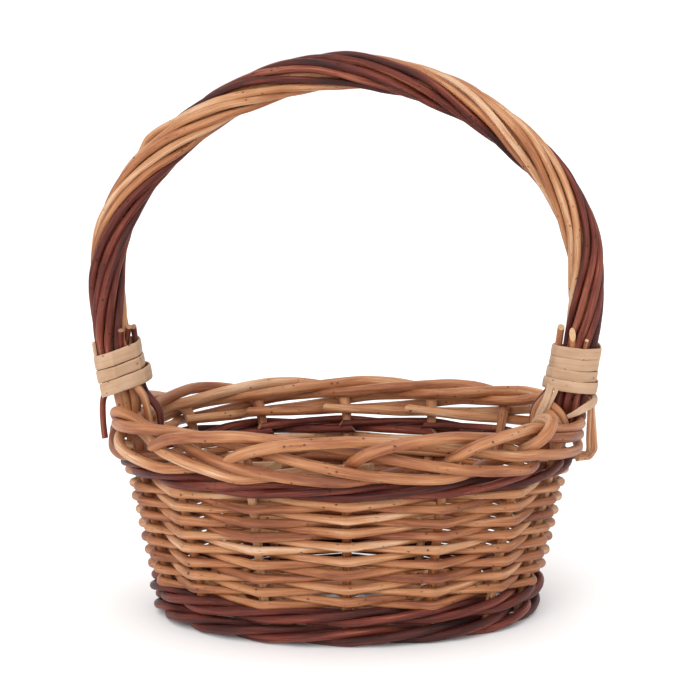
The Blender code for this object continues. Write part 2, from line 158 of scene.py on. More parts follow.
def rounded_path(corners, reach, steps=6):
    """Straight runs between corners, each corner rounded off over a reach to both sides."""
    path = [corners[0]]
    for before, corner, after in zip(corners, corners[1:], corners[2:]):
        come, go = before - corner, after - corner
        start = corner + come * min(0.5, reach / come.xyz.length)
        end = corner + go * min(0.5, reach / go.xyz.length)
        for share in (index / steps for index in range(steps + 1)):
            path.append(start * (1 - share) ** 2 + corner * 2 * share * (1 - share) + end * share**2)
    path.append(corners[-1])
    return even_stations(path)


def flowing_path(corners, steps=10):
    """A smooth curve through every corner."""
    path = []
    last = len(corners) - 1
    for index in range(last):
        before = corners[max(index - 1, 0)]
        start, end = corners[index], corners[index + 1]
        after = corners[min(index + 2, last)]
        for share in (step / steps for step in range(steps)):
            pull = (end - before) / 2 * share
            bend = (before - start * 2.5 + end * 2 - after / 2) * share**2
            settle = ((start - end) * 1.5 + (after - before) / 2) * share**3
            path.append(start + pull + bend + settle)
    path.append(corners[last])
    return even_stations(path)


def grown_path(path, seed, lump=0.035, taper=0.0):
    """The path of a grown rod: it thins towards its tip and swells a little here and there."""
    made = []
    length = 0
    for index, here in enumerate(path):
        length += (here.xyz - path[max(index - 1, 0)].xyz).length
        swell = noise.noise(Vector((length * SWELL_WAVES, seed * 7.3, 0)))
        swell += 0.5 * noise.noise(Vector((length * FINE_SWELL_WAVES, seed, 3)))
        thin = taper * (index / (len(path) - 1) - 0.5)
        made.append(station(here.xyz, here.w * (1 + lump * swell - thin)))
    return made


def feed(tree, socket, value):
    """Links a socket to another one, or sets it to a value."""
    if isinstance(value, bpy.types.NodeSocket):
        tree.links.new(value, socket)
    else:
        socket.default_value = value


def add_node(tree, kind, inputs=(), **settings):
    """A node with its settings, and with its inputs by their names or numbers. Its outputs are returned."""
    node = tree.nodes.new(kind)
    for name, value in settings.items():
        setattr(node, name, value)
    for name, value in dict(inputs).items():
        feed(tree, node.inputs[name], value)
    return node.outputs


def math_node(tree, operation, *values, clamp=False):
    """A sum of sockets or numbers."""
    return add_node(tree, "ShaderNodeMath", enumerate(values), operation=operation, use_clamp=clamp)["Value"]


def stretched_noise(tree, vector, stretch, scale=1.0, detail=3.0, roughness=0.55):
    """Noise over a vector that is stretched differently along its three directions."""
    place = add_node(tree, "ShaderNodeMapping", {"Vector": vector, "Scale": stretch})["Vector"]
    settings = {"Vector": place, "Scale": scale, "Detail": detail, "Roughness": roughness}
    return add_node(tree, "ShaderNodeTexNoise", settings)["Fac"]


def ramp(tree, value, stops):
    """Colours over a value, as a list of places and colours."""
    outputs = add_node(tree, "ShaderNodeValToRGB", {"Fac": value})
    band = outputs["Color"].node.color_ramp
    while len(band.elements) < len(stops):
        band.elements.new(1)
    for element, (place, colour) in zip(band.elements, stops):
        element.position = place
        element.color = (*colour, 1)
    return outputs["Color"]


def high_parts(tree, field, low, high):
    """Where a field is high: none below a value and all above another."""
    none, full = (0, 0, 0), (1, 1, 1)
    return ramp(tree, field, [(0.0, none), (low, none), (high, full), (1.0, full)])


def laid_over(tree, skin, field, strength, colour):
    """The skin with a colour laid over it where a field is high."""
    share = math_node(tree, "MULTIPLY", field, strength)
    return add_node(tree, "ShaderNodeMix", {0: share, 6: skin, 7: (*colour, 1)}, data_type="RGBA")[2]


def blended(tree, *parts):
    """A sum of fields that lie about one half, each with its own gain, that lies about one half again."""
    total = 0.5
    for field, gain in parts:
        total = math_node(tree, "ADD", math_node(tree, "MULTIPLY_ADD", field, gain, -gain / 2), total)
    return total


def spots(tree, vector, stretch, size, share, sharpness=2.5):
    """Round spots in some cells of a stretched grid. Share is how many cells hold one."""
    place = add_node(tree, "ShaderNodeMapping", {"Vector": vector, "Scale": stretch})["Vector"]
    cells = add_node(tree, "ShaderNodeTexVoronoi", {"Vector": place, "Scale": 1.0})
    near = math_node(tree, "SUBTRACT", 1.0, math_node(tree, "DIVIDE", cells["Distance"], size))
    near = math_node(tree, "MULTIPLY", near, sharpness, clamp=True)
    lot = add_node(tree, "ShaderNodeSeparateColor", {"Color": cells["Color"]})["Red"]
    return math_node(tree, "MULTIPLY", near, math_node(tree, "LESS_THAN", lot, share))


def new_material(name):
    """A material with its nodes cleared, its node tree and its shader's inputs."""
    material = bpy.data.materials.new(name)
    material.use_nodes = True
    tree = material.node_tree
    tree.nodes.clear()
    shader = tree.nodes.new("ShaderNodeBsdfPrincipled")
    add_node(tree, "ShaderNodeOutputMaterial", {"Surface": shader.outputs["BSDF"]})
    return material, tree, shader.inputs


def finish_surface(tree, shader, colour, roughness, relief, strength, depth, gloss=0.5):
    """Gives a shader its colour, its roughness and its gloss, and a bump from a relief field."""
    feed(tree, shader["Base Color"], colour)
    feed(tree, shader["Roughness"], roughness)
    shader["Specular IOR Level"].default_value = gloss
    bump = add_node(tree, "ShaderNodeBump", {"Height": relief, "Strength": strength, "Distance": depth})
    feed(tree, shader["Normal"], bump["Normal"])


def willow_material(name, tones, mark_and_shade_colour, roughness, gloss):
    """Peeled or stained willow: streaks along the rod, its own tone, bud scars, specks and creased bends. The
    creases at sharp bends are darkened with painted shade.

    Tones are the colours of the skin from its darkest to its palest.
    """
    material, tree, shader = new_material(name)
    grain = add_node(tree, "ShaderNodeAttribute", attribute_name="grain")["Vector"]
    tone = add_node(tree, "ShaderNodeAttribute", attribute_name="tone")["Fac"]
    bend = add_node(tree, "ShaderNodeAttribute", attribute_name="bend")["Fac"]
    streaks = stretched_noise(tree, grain, (38, 2.2, 2.2), scale=1.5, detail=4)
    fibres = stretched_noise(tree, grain, (150, 11, 11), scale=1.3, roughness=0.7)
    clouds = stretched_noise(tree, grain, (24, 0.6, 0.6), detail=2)
    place = blended(tree, (streaks, 0.85), (fibres, 0.5), (clouds, 1.4), (tone, 0.75))
    skin = ramp(tree, place, [(index / (len(tones) - 1), colour) for index, colour in enumerate(tones)])

    speck = spots(tree, grain, (230, 1.8, 1.8), size=0.20, share=0.24)
    scar = spots(tree, grain, (330, 1.0, 1.0), size=0.27, share=0.12)
    stain = high_parts(tree, stretched_noise(tree, grain, (260, 5, 5), detail=4, roughness=0.8), 0.62, 0.74)
    # Creases at sharp bends: dents in the relief, and painted shade that darkens the colour there
    wrinkles = stretched_noise(tree, grain, (900, 1.5, 1.5), detail=2)
    crease_and_shade = math_node(tree, "MULTIPLY", bend, blended(tree, (wrinkles, 3.0)), clamp=True)
    # The mark colour gives real stains, specks and scars, and over the creases it is painted shade
    for field, strength in ((stain, 0.55), (crease_and_shade, 0.6), (speck, 0.75), (scar, 0.85)):
        skin = laid_over(tree, skin, field, strength, mark_and_shade_colour)
    rough = math_node(tree, "MULTIPLY_ADD", fibres, 0.3, roughness - 0.15)
    relief = blended(tree, (fibres, 0.9), (streaks, 1.0), (crease_and_shade, -1.2), (scar, 1.0), (speck, -0.5))
    finish_surface(tree, shader, skin, rough, relief, strength=0.6, depth=0.0005, gloss=gloss)
    return material


def cut_material(name, pale, brown):
    """The cut end of a rod: pale wood with fine pores and a browner blotch."""
    material, tree, shader = new_material(name)
    place = add_node(tree, "ShaderNodeTexCoord")["Object"]
    pores = stretched_noise(tree, place, (1, 1, 1), scale=2600, roughness=0.7)
    blotch = stretched_noise(tree, place, (1, 1, 1), scale=520, detail=2)
    wood = laid_over(tree, ramp(tree, pores, [(0.25, brown), (0.6, pale), (1.0, pale)]), blotch, 0.6, brown)
    finish_surface(tree, shader, wood, 0.85, pores, strength=0.5, depth=0.0004)
    return material


def cane_material(name, tones, mark_colour, pinhole_colour):
    """Split cane: pale, with fine straight fibres along the strip, small dark marks and pinholes."""
    material, tree, shader = new_material(name)
    grain = add_node(tree, "ShaderNodeAttribute", attribute_name="grain")["Vector"]
    fibres = stretched_noise(tree, grain, (40, 900, 900), roughness=0.6)
    clouds = math_node(tree, "MULTIPLY", stretched_noise(tree, grain, (70, 130, 130)), 0.6)
    place = math_node(tree, "MULTIPLY_ADD", fibres, 0.5, clouds)
    skin = ramp(tree, place, list(zip((0.25, 0.52, 0.85), tones)))
    marks = high_parts(tree, stretched_noise(tree, grain, (520, 900, 900), roughness=0.75), 0.66, 0.73)
    pinholes = spots(tree, grain, (420, 700, 700), size=0.34, share=0.10)
    skin = laid_over(tree, skin, marks, 0.7, mark_colour)
    skin = laid_over(tree, skin, pinholes, 0.85, pinhole_colour)
    finish_surface(tree, shader, skin, 0.5, fibres, strength=0.3, depth=0.0004, gloss=0.4)
    return material


LIGHT_SKIN = willow_material(
    "light_willow_skin",
    (
        (0.14, 0.029, 0.008),
        (0.25, 0.072, 0.022),
        (0.385, 0.145, 0.052),
        (0.50, 0.236, 0.103),
        (0.65, 0.41, 0.255),
    ),
    mark_and_shade_colour=(0.060, 0.018, 0.010),
    roughness=0.44,
    gloss=0.50,
)
DARK_SKIN = willow_material(
    "dark_willow_skin",
    (
        (0.009, 0.002, 0.001),
        (0.036, 0.005, 0.003),
        (0.092, 0.0135, 0.0075),
        (0.185, 0.036, 0.019),
        (0.34, 0.118, 0.065),
    ),
    mark_and_shade_colour=(0.016, 0.006, 0.006),
    roughness=0.46,
    gloss=0.30,
)
LIGHT_CUT = cut_material("light_willow_cut", (0.72, 0.50, 0.29), (0.38, 0.19, 0.08))
DARK_CUT = cut_material("dark_willow_cut", (0.50, 0.29, 0.15), (0.14, 0.05, 0.03))
CANE_SKIN = cane_material(
    "split_cane",
    ((0.30, 0.16, 0.078), (0.43, 0.265, 0.158), (0.54, 0.36, 0.24)),
    mark_colour=(0.17, 0.07, 0.03),
    pinhole_colour=(0.13, 0.05, 0.022),
)
FINISHES = {"light_willow": (LIGHT_SKIN, LIGHT_CUT), "dark_willow": (DARK_SKIN, DARK_CUT)}
ROD_INPUTS = {
    "Line": "NodeSocketGeometry",
    "Sides": "NodeSocketInt",
    "Wander": "NodeSocketFloat",
    "Seed": "NodeSocketFloat",
    "Start Slant": "NodeSocketFloat",
    "End Slant": "NodeSocketFloat",
    "Cut Facing": "NodeSocketVector",
    "Skin": "NodeSocketMaterial",
    "Cut": "NodeSocketMaterial",
}


def make_rod_tree():
    """Geometry Nodes that turn a line of stations into a willow rod.

    The rod follows the line, with the line's thickness as its radius. Its ends are cut on a slant, and the
    cuts get their own material. The attribute grain holds the length along the rod and the way round it.
    """
    tree = bpy.data.node_groups.new("willow_rod", "GeometryNodeTree")
    sockets = {}
    for name, kind in ROD_INPUTS.items():
        sockets[name] = tree.interface.new_socket(name=name, in_out="INPUT", socket_type=kind).identifier
    tree.interface.new_socket(name="Rod", in_out="OUTPUT", socket_type="NodeSocketGeometry")

    def vector_math(operation, first, second, output="Vector"):
        other = "Scale" if operation == "SCALE" else 1
        return add_node(tree, "ShaderNodeVectorMath", {0: first, other: second}, operation=operation)[output]

    def captured(geometry, **fields):
        outputs = add_node(tree, "GeometryNodeCaptureAttribute", {"Geometry": geometry})
        node = outputs["Geometry"].node
        for name, (kind, field) in fields.items():
            node.capture_items.new(kind, name)
            feed(tree, node.inputs[name], field)
        return node.outputs

    def moved(geometry, offset):
        return add_node(tree, "GeometryNodeSetPosition", {"Geometry": geometry, "Offset": offset})["Geometry"]

    given = add_node(tree, "NodeGroupInput")
    position = add_node(tree, "GeometryNodeInputPosition")["Position"]
    line = add_node(tree, "GeometryNodeMeshToCurve", {"Mesh": given["Line"]})["Curve"]
    seed = add_node(tree, "ShaderNodeCombineXYZ", {"X": given["Seed"]})["Vector"]
    wander = {"Vector": vector_math("ADD", position, seed), "Scale": WANDER_WAVES, "Detail": 1}
    waves = add_node(tree, "ShaderNodeTexNoise", wander)["Color"]
    drift = vector_math("SCALE", vector_math("SUBTRACT", waves, (0.5, 0.5, 0.5)), given["Wander"])
    spine = captured(
        moved(line, drift),
        along=("FLOAT", add_node(tree, "GeometryNodeSplineParameter")["Length"]),
        total=("FLOAT", add_node(tree, "GeometryNodeSplineLength")["Length"]),
        tangent=("VECTOR", add_node(tree, "GeometryNodeInputTangent")["Tangent"]),
        middle=("VECTOR", position),
    )
    circle = add_node(tree, "GeometryNodeCurvePrimitiveCircle", {"Resolution": given["Sides"], "Radius": 1})
    ring = captured(circle["Curve"], way=("VECTOR", position))
    thickness = add_node(tree, "GeometryNodeInputNamedAttribute", {"Name": "thickness"}, data_type="FLOAT")
    swept = {"Curve": spine["Geometry"], "Profile Curve": ring["Geometry"], "Scale": thickness["Attribute"]}
    tube = add_node(tree, "GeometryNodeCurveToMesh", swept | {"Fill Caps": True})["Mesh"]

    outward = vector_math("SUBTRACT", position, spine["middle"])
    faced = vector_math("DOT_PRODUCT", outward, given["Cut Facing"], "Value")
    to_end = math_node(tree, "SUBTRACT", spine["total"], spine["along"])
    pushes = []
    ends = ((spine["along"], given["Start Slant"], 1), (to_end, given["End Slant"], -1))
    for distance, slant, sign in ends:
        share = math_node(tree, "DIVIDE", distance, math_node(tree, "MULTIPLY", slant, CUT_REACH))
        near = math_node(tree, "MULTIPLY", math_node(tree, "SUBTRACT", 1.0, share, clamp=True), slant)
        pushes.append(math_node(tree, "MULTIPLY", near, math_node(tree, "MULTIPLY", faced, sign)))
    slide = vector_math("SCALE", spine["tangent"], math_node(tree, "ADD", *pushes))

    way = add_node(tree, "ShaderNodeSeparateXYZ", {"Vector": ring["way"]})
    length = math_node(tree, "ADD", spine["along"], given["Seed"])
    grain = add_node(tree, "ShaderNodeCombineXYZ", {"X": length, "Y": way["X"], "Z": way["Y"]})["Vector"]
    stored = {"Geometry": moved(tube, slide), "Name": "grain", "Value": grain}
    rod = add_node(tree, "GeometryNodeStoreNamedAttribute", stored, data_type="FLOAT_VECTOR", domain="POINT")

    # The tube's sides are squares, so a face with more corners is a cut
    corners = add_node(tree, "GeometryNodeInputMeshFaceNeighbors")["Vertex Count"]
    is_side = math_node(tree, "LESS_THAN", corners, 4.5)
    is_cut = math_node(tree, "GREATER_THAN", corners, 4.5)
    shaded = {"Geometry": rod["Geometry"], "Shade Smooth": is_side}
    rod = add_node(tree, "GeometryNodeSetShadeSmooth", shaded, domain="FACE")
    rod = add_node(tree, "GeometryNodeRealizeInstances", {"Geometry": rod["Geometry"]})
    rod = add_node(tree, "GeometryNodeSetMaterial", {"Geometry": rod["Geometry"], "Material": given["Skin"]})
    ended = {"Geometry": rod["Geometry"], "Selection": is_cut, "Material": given["Cut"]}
    rod = add_node(tree, "GeometryNodeSetMaterial", ended)
    add_node(tree, "NodeGroupOutput", {"Rod": rod["Geometry"]})
    return tree, sockets


ROD_TREE, ROD_SOCKETS = make_rod_tree()


def linked(name, data):
    """A new object in the scene."""
    thing = bpy.data.objects.new(name, data)
    bpy.context.scene.collection.objects.link(thing)
    return thing


def bend_at(path, index):
    """How sharply a path turns at a station, from none at 0 to a kink at 1."""
    here = path[index].xyz
    come = here - path[max(index - 2, 0)].xyz
    go = path[min(index + 2, len(path) - 1)].xyz - here
    if come.length == 0 or go.length == 0:
        return 0
    return min(max((come.angle(go) - GENTLE_BEND) / (SHARP_BEND - GENTLE_BEND), 0), 1)


def line_object(name, path, tone):
    """A bare line of stations with its thickness, tone and bends, for the rod tree."""
    mesh = bpy.data.meshes.new(name)
    edges = [(index, index + 1) for index in range(len(path) - 1)]
    mesh.from_pydata([tuple(place.xyz) for place in path], edges, [])
    bends = [bend_at(path, index) for index in range(len(path))]
    fields = {"thickness": [place.w for place in path], "tone": [tone] * len(path), "bend": bends}
    for field, values in fields.items():
        mesh.attributes.new(field, "FLOAT", "POINT").data.foreach_set("value", values)
    return linked(name, mesh)


def finish_piece(piece, nodes):
    """Puts a piece on the basket's body and the nodes it stands for."""
    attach(piece, "root")
    if nodes:
        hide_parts(*nodes)


def make_rod(
    name, path, slot, nodes=(), tone=0.5, seed=0.0, slants=(0.6, 0.6), facing=(0, 0, 1), wander=0.0006
):
    """A willow rod along a path, as a plain mesh that stands for its nodes."""
    line = line_object(name + "_line", path, tone)
    modifier = line.modifiers.new("willow_rod", "NODES")
    modifier.node_group = ROD_TREE
    skin, cut = FINISHES[slot]
    values = {"Sides": ROD_SIDES, "Wander": wander, "Seed": float(seed), "Skin": skin, "Cut": cut}
    values |= {"Start Slant": float(slants[0]), "End Slant": float(slants[1]), "Cut Facing": facing}
    for socket, value in values.items():
        modifier[ROD_SOCKETS[socket]] = value
    evaluated = line.evaluated_get(bpy.context.evaluated_depsgraph_get())
    mesh = bpy.data.meshes.new_from_object(evaluated)
    mesh.name = name
    bpy.data.objects.remove(line)
    finish_piece(linked(name, mesh), nodes)


# Randing: one light rod a row, thickest where it passes a post
RANDING_START_POST = 6
RANDING_PASS_RADIUS = 0.00240
RANDING_CROSSING_RADIUS = 0.00172
RANDING_STOUTNESS = (0.95, 1.05)
RANDING_PASS_STOUTNESS = (0.94, 1.05)
RANDING_TONES = (0.18, 0.80)
PASS_ROOM = 0.0002
PASS_ROUNDING = 0.0024
PASS_DROP = 0.0007
END_GAP = 0.0012
WALL_WARP = 0.0007
WALL_WARP_WAVES = 48
WALL_WARP_TURN = 2.1
ROW_WANDER = 0.00018


def warped(position, height):
    """A height of the wall, a little uneven as hand work is."""
    angle = angle_at(position)
    across, along = math.cos(angle) * WALL_WARP_TURN, math.sin(angle) * WALL_WARP_TURN
    return height + noise.noise(Vector((across, along, height * WALL_WARP_WAVES))) * WALL_WARP


def make_randing():
    """Plain weave. A row passes every second post inside, and the next row the others."""
    for row in range(RANDING_ROWS):
        chance = random.Random(100 + row)
        height = FOOT_TOP + CLEARANCE + RANDING_PITCH * (row + 0.5)
        start_post = RANDING_START_POST + row % 2 + 2 * (row % 3)
        stoutness = chance.uniform(*RANDING_STOUTNESS)
        corners = []
        for half in range(2 * POSTS + 1):
            position = start_post + half / 2
            here = warped(position, height) + chance.uniform(-ROW_WANDER, ROW_WANDER)
            if half % 2:
                corners.append(station(wall_point(position, here), RANDING_CROSSING_RADIUS * stoutness))
                continue
            reach = post_reach(start_post + half // 2, 2 * RANDING_PASS_RADIUS * stoutness, PASS_ROOM)
            side = 1 if half // 2 % 2 else -1
            shift = END_GAP / 2 if half == 0 else -END_GAP / 2 if half == 2 * POSTS else 0
            place = wall_point(position, here - side * PASS_DROP, side * reach, shift)
            radius = RANDING_PASS_RADIUS * stoutness * chance.uniform(*RANDING_PASS_STOUTNESS)
            corners.append(station(place, radius))
        path = grown_path(rounded_path(corners, PASS_ROUNDING), seed=row, lump=0.04, taper=0.06)
        name = f"randing_row_{row + 1:02d}"
        tone = chance.uniform(*RANDING_TONES)
        make_rod(f"{name}_rod", path, "light_willow", [name], tone, seed=row * 1.7, wander=0.0005)


# Wales: three dark rods that chase each other, each in front of two posts and behind the third
WALE_RODS = 3
WALE_CLIMB_POSTS = 3
WALE_SWELL = 0.0014
WALE_ROOM = 0.0005
WALE_ROUNDING = 0.0070
WALE_WANDER = 0.0003
WALE_STOUTNESS = (1.0, 1.06)
WALE_TONES = (0.3, 0.8)
WALE_LAP = 0.0035
WALE_LAP_RISE = 0.0013
FOOT_LIFT = 0.0006
FOOT_START_POST = 7
TOP_START_POST = 9


def wale_station(rod_number, half, pitch, rod, start_post):
    """How far out and how high a wale rod lies at a half step. It rises over its neighbour as it goes."""
    step, between = divmod(half, 2)
    phase = (step + rod_number) % WALE_RODS
    reach = post_reach(start_post + step, rod, WALE_ROOM)
    if between:
        return ((0, -pitch / 2), (reach + WALE_SWELL, 0), (0, pitch / 2))[phase]
    return ((-reach, 0), (reach, -pitch / 2), (reach, pitch / 2))[phase]


def wale_steps(rod_number, rounds):
    """A wale rod's first and last step, both behind a post. The rods start at three posts in a row."""
    last = rounds * POSTS - (1 if rounds > 1 else 0)
    return -rod_number, last - (last + rod_number) % WALE_RODS


def wale_climb(half, rounds, pitch):
    """How far a wale has risen at a half step. A round climbs to the next one over its last posts."""
    done, within = divmod(max(half, 0) / 2, POSTS)
    if done >= rounds - 1:
        return (rounds - 1) * 2 * pitch
    step_up = max(0, within - (POSTS - WALE_CLIMB_POSTS)) / WALE_CLIMB_POSTS
    return (done + step_up) * 2 * pitch


def make_wale(name, rod, pitch, rounds, start_post, low_height):
    """Three rods round the wall. The end of each lies over the start of another, inside."""
    for rod_number in range(WALE_RODS):
        chance = random.Random(f"{name} {rod_number}")
        stoutness = chance.uniform(*WALE_STOUTNESS)
        corners = []
        first, last = wale_steps(rod_number, rounds)
        for half in range(2 * first, 2 * last + 1):
            outward, rise = wale_station(rod_number, half, pitch, rod, start_post)
            height = low_height + pitch / 2 + rise + wale_climb(half, rounds, pitch)
            side = {2 * first: -1, 2 * last: 1}.get(half, 0)
            height += side * WALE_LAP_RISE
            place = wall_point(start_post + half / 2, height, outward, side * WALE_LAP)
            corners.append(station(place, rod / 2 * stoutness))
        path = grown_path(rounded_path(corners, WALE_ROUNDING), seed=rod_number + 40, lump=0.05, taper=0.10)
        node = f"{name}_{rod_number + 1}"
        tone = chance.uniform(*WALE_TONES)
        seed = 50 + rod_number * 3.1
        make_rod(f"{node}_bark", path, "dark_willow", [node], tone, seed, wander=WALE_WANDER)


# Border: each stake turns over into a rod of the border, which runs on for five posts. A place of such a rod
# is the posts passed since its own, its rise over the border's height and its way outward, in millimetres.
BORDER_ROLL = (
    ((0.03, -1, 1.5), (0.1, 4, 6), (0.22, 8.3, 8.3), (0.5, 12.3, 8), (0.8, 13.8, 6), (1.05, 13.3, 2.5))
    + ((1.4, 11.2, 0), (1.7, 9, -1.5), (2.0, 6.6, -1.6), (2.2, 5, 0.5), (2.45, 2.9, 4.5), (2.75, 0.3, 8.2))
    + ((3.1, -2.8, 9.7), (3.5, -5.4, 9.7), (3.9, -6.9, 9.3), (4.12, -6.7, 6.5), (4.35, -6, 0))
    + ((4.6, -5, -4.8), (5.0, -4.3, -5.9), (5.25, -3.6, -6.3))
)
ROLL_START_INSIDE = ((0.03, -1, -1), (0.12, 3.5, -6), (0.3, 8, -9.6), (0.65, 10.3, -10.3), (1, 10.6, -9.9))
LAID_OUTSIDE = ((2.45, 2.9, 4.5), (2.75, 0.6, 7.8), (3.0, -1.6, 8.4))
RISE_FROM_DIP = ((2.3, 3.8, -5.7), (2.5, 3, 0.3), (2.75, 1.2, 6.2))
# The way past a leg of the bow that stands one, two or three posts on
PAST_BOW = {
    1: ROLL_START_INSIDE + ((1.3, 10.2, -7), (1.7, 8.6, -3)),
    2: ((1.4, 9.4, -1), (1.65, 5.8, -4.6), (2.0, 4.1, -9.2)) + RISE_FROM_DIP,
    3: LAID_OUTSIDE,
}
ODD_STARTS = {
    2: ((0.0, 0, 1.5), (0.05, 3.2, 4.5), (0.13, 6.8, 7), (0.24, 10.4, 7.2), (0.4, 14.2, 4.4))
    + ((0.52, 15.2, -1), (0.66, 13, -7), (0.9, 9.8, -11.2), (1.3, 6.2, -12.4), (1.6, 4.6, -11.5))
    + ((2.0, 4.1, -9.4),)
    + RISE_FROM_DIP,
    3: ((0.02, 0, -0.5), (0.0, 5, -0.6), (-0.03, 9, -2), (0.06, 11.5, -4.5), (0.3, 12.3, -7.4))
    + ((0.65, 11.6, -9.6), (1, 10.6, -9.9), (1.3, 10.2, -7), (1.7, 8.6, -3)),
    4: ((0.5, 5, 5), (0.52, 9.4, 8), (0.62, 13, 8.5), (0.85, 14.6, 6.5), (1.15, 14.3, 3), (1.45, 12, 0)),
    11: ROLL_START_INSIDE
    + ((1.3, 9.8, -7.5), (1.6, 8.6, -4.5), (1.9, 7.6, -2.5), (2.2, 6.6, -1.2), (2.48, 5.4, 0.5))
    + ((2.75, 3.5, 4), (3.0, 1.5, 7.4), (3.24, -0.6, 9), (3.5, -3, 9.8)),
    12: ((0.25, 7, 3), (0.35, 11, 4.5), (0.6, 15.2, 5), (0.9, 16.2, 3.4), (1.2, 14.4, 0.8), (1.5, 11, -0.5))
    + ((1.8, 8.6, -1.5),),
    13: ((0.0, -1, -0.5), (-0.12, 3, -1.2), (-0.3, 6.5, 0.8), (-0.4, 8.6, 3.4), (-0.2, 9.6, 6.4))
    + ((0.15, 10.6, 8), (0.5, 11.8, 7.8), (0.85, 12.7, 5.6), (1.12, 12.4, 2.4), (1.4, 11, 0)),
    14: ((0.0, 6.4, 8.6), (0.15, 9.6, 8.8), (0.4, 12.3, 8.6), (0.67, 13.5, 7.4), (0.98, 13.6, 3.6))
    + ((1.3, 11.9, 0.4),),
    15: ((-0.08, 3.2, 8), (0.05, 6.4, 8.8), (0.25, 9.5, 9.1), (0.5, 11.8, 8.5), (0.8, 12.8, 6.2))
    + ((1.05, 12.6, 2.8), (1.4, 11, 0.2)),
}
ODD_ENDS = {
    0: ((2.15, 6.4, -0.2), (2.35, 6.2, 2.9), (2.7, 4.2, 7.2), (3.1, 2.2, 8.4), (3.5, 0.6, 8))
    + ((3.87, -0.2, 6.8),),
    1: ((1.4, 10.8, 0.5), (1.7, 8.8, 2.5), (1.95, 7.6, 5.2), (2.3, 6.9, 6.5), (2.65, 6.2, 7.4))
    + ((2.95, 5.4, 7.2),),
    15: ((3.1, -0.8, 9), (3.5, -3.2, 9.7), (4.0, -5, 9.6), (4.5, -6.1, 9), (5.0, -5.8, 8.2), (5.4, -5, 8.8)),
}
ODD_REACH = 0.1
TUCKED_STARTS = (14, 15)
TUCKED_SLANTS = (1.9, 1.6)
BORDER_END_TAPER = 0.82
BORDER_TONES = (0.3, 0.85)
FRONT_FLATNESS = 0.92
BACK_FLATNESS = 0.60
STAKE_FOOT = 0.0030
STAKE_NECK = 0.0128
STAKE_STATION_GAP = 0.0120
STAKE_STOUTNESS = (0.96, 1.05)
STAKE_TONES = (0.28, 0.86)
STAKE_SLANTS = (0.4, 1.6)
EXTRA_ROD_STOUTNESS = 0.98
EXTRA_ROD_SLANTS = (0.8, 1.6)


def border_places(number):
    """The places of a border rod: the common roll, with its own start or end and its way past the bow."""
    to_bow = min((post - number) % POSTS for post in BOW_POSTS)
    start = ODD_STARTS.get(number, PAST_BOW.get(to_bow, ()))
    end = ODD_ENDS.get(number, ())
    places = list(BORDER_ROLL)
    if start:
        before = [place for place in places if place[0] < start[0][0] - ODD_REACH]
        places = before + list(start) + [place for place in places if place[0] > start[-1][0] + ODD_REACH]
    if end:
        places = [place for place in places if place[0] < end[0][0] - ODD_REACH] + list(end)
    return places


def border_stations(number, stoutness):
    """The stations of a border rod. The roll is flatter at the back, as it is in the real border."""
    places = border_places(number)
    stations = []
    for posts, rise, outward in places:
        if rise > 0:
            front_share = (1 + math.cos(angle_at(number + posts))) / 2
            rise *= BACK_FLATNESS + (FRONT_FLATNESS - BACK_FLATNESS) * front_share
        thinning = 1 - (1 - BORDER_END_TAPER) * max(posts, 0) / places[-1][0]
        place = border_point(number + posts, rise, outward)
        stations.append(station(place, BORDER_ROD / 2 * stoutness * thinning))
    return stations


def make_border_rod(name, number, stations, nodes, tone, slants, facing):
    """A rod of the border, whose cuts face inward from its post."""
    path = grown_path(flowing_path(stations), seed=number + 70, lump=0.04)
    inward = wall_point(number, 0) - wall_point(number, 0, 1)
    make_rod(name, path, "light_willow", nodes, tone, 80 + number * 2.3, slants, inward + Vector(facing))


def make_beside(name, number, stoutness, nodes, slants):
    """A rod of the border that starts at the wall's outside, beside a stake or a leg of the bow."""
    tone = random.Random(name).uniform(*BORDER_TONES)
    make_border_rod(name, number, border_stations(number, stoutness), nodes, tone, slants, (0, 0, 0.3))


def make_stakes():
    for number in range(POSTS):
        if number in BOW_POSTS:
            continue
        chance = random.Random(200 + number)
        length = BORDER_HEIGHT - STAKE_NECK - STAKE_FOOT
        rungs = math.ceil(length / STAKE_STATION_GAP)
        heights = [STAKE_FOOT + length * rung / rungs for rung in range(rungs + 1)]
        stoutness = chance.uniform(*STAKE_STOUTNESS)
        node = f"stake_{number + 1:02d}"
        rolled = [] if number in TUCKED_STARTS else border_stations(number, stoutness)
        if number in TUCKED_STARTS:
            make_beside(f"{node}_border_rod", number, stoutness, [node], TUCKED_SLANTS)
            heights.append(BORDER_HEIGHT - MILLIMETRE)
        stations = [station(wall_point(number, height), STAKE_DIAMETER / 2) for height in heights] + rolled
        tone = chance.uniform(*STAKE_TONES)
        make_border_rod(f"{node}_rod", number, stations, [node], tone, STAKE_SLANTS, (0, 0, 0))
    for post, side in zip(BOW_POSTS, ("right", "left")):
        make_beside(f"{side}_extra_border_rod", post, EXTRA_ROD_STOUTNESS, (), EXTRA_ROD_SLANTS)


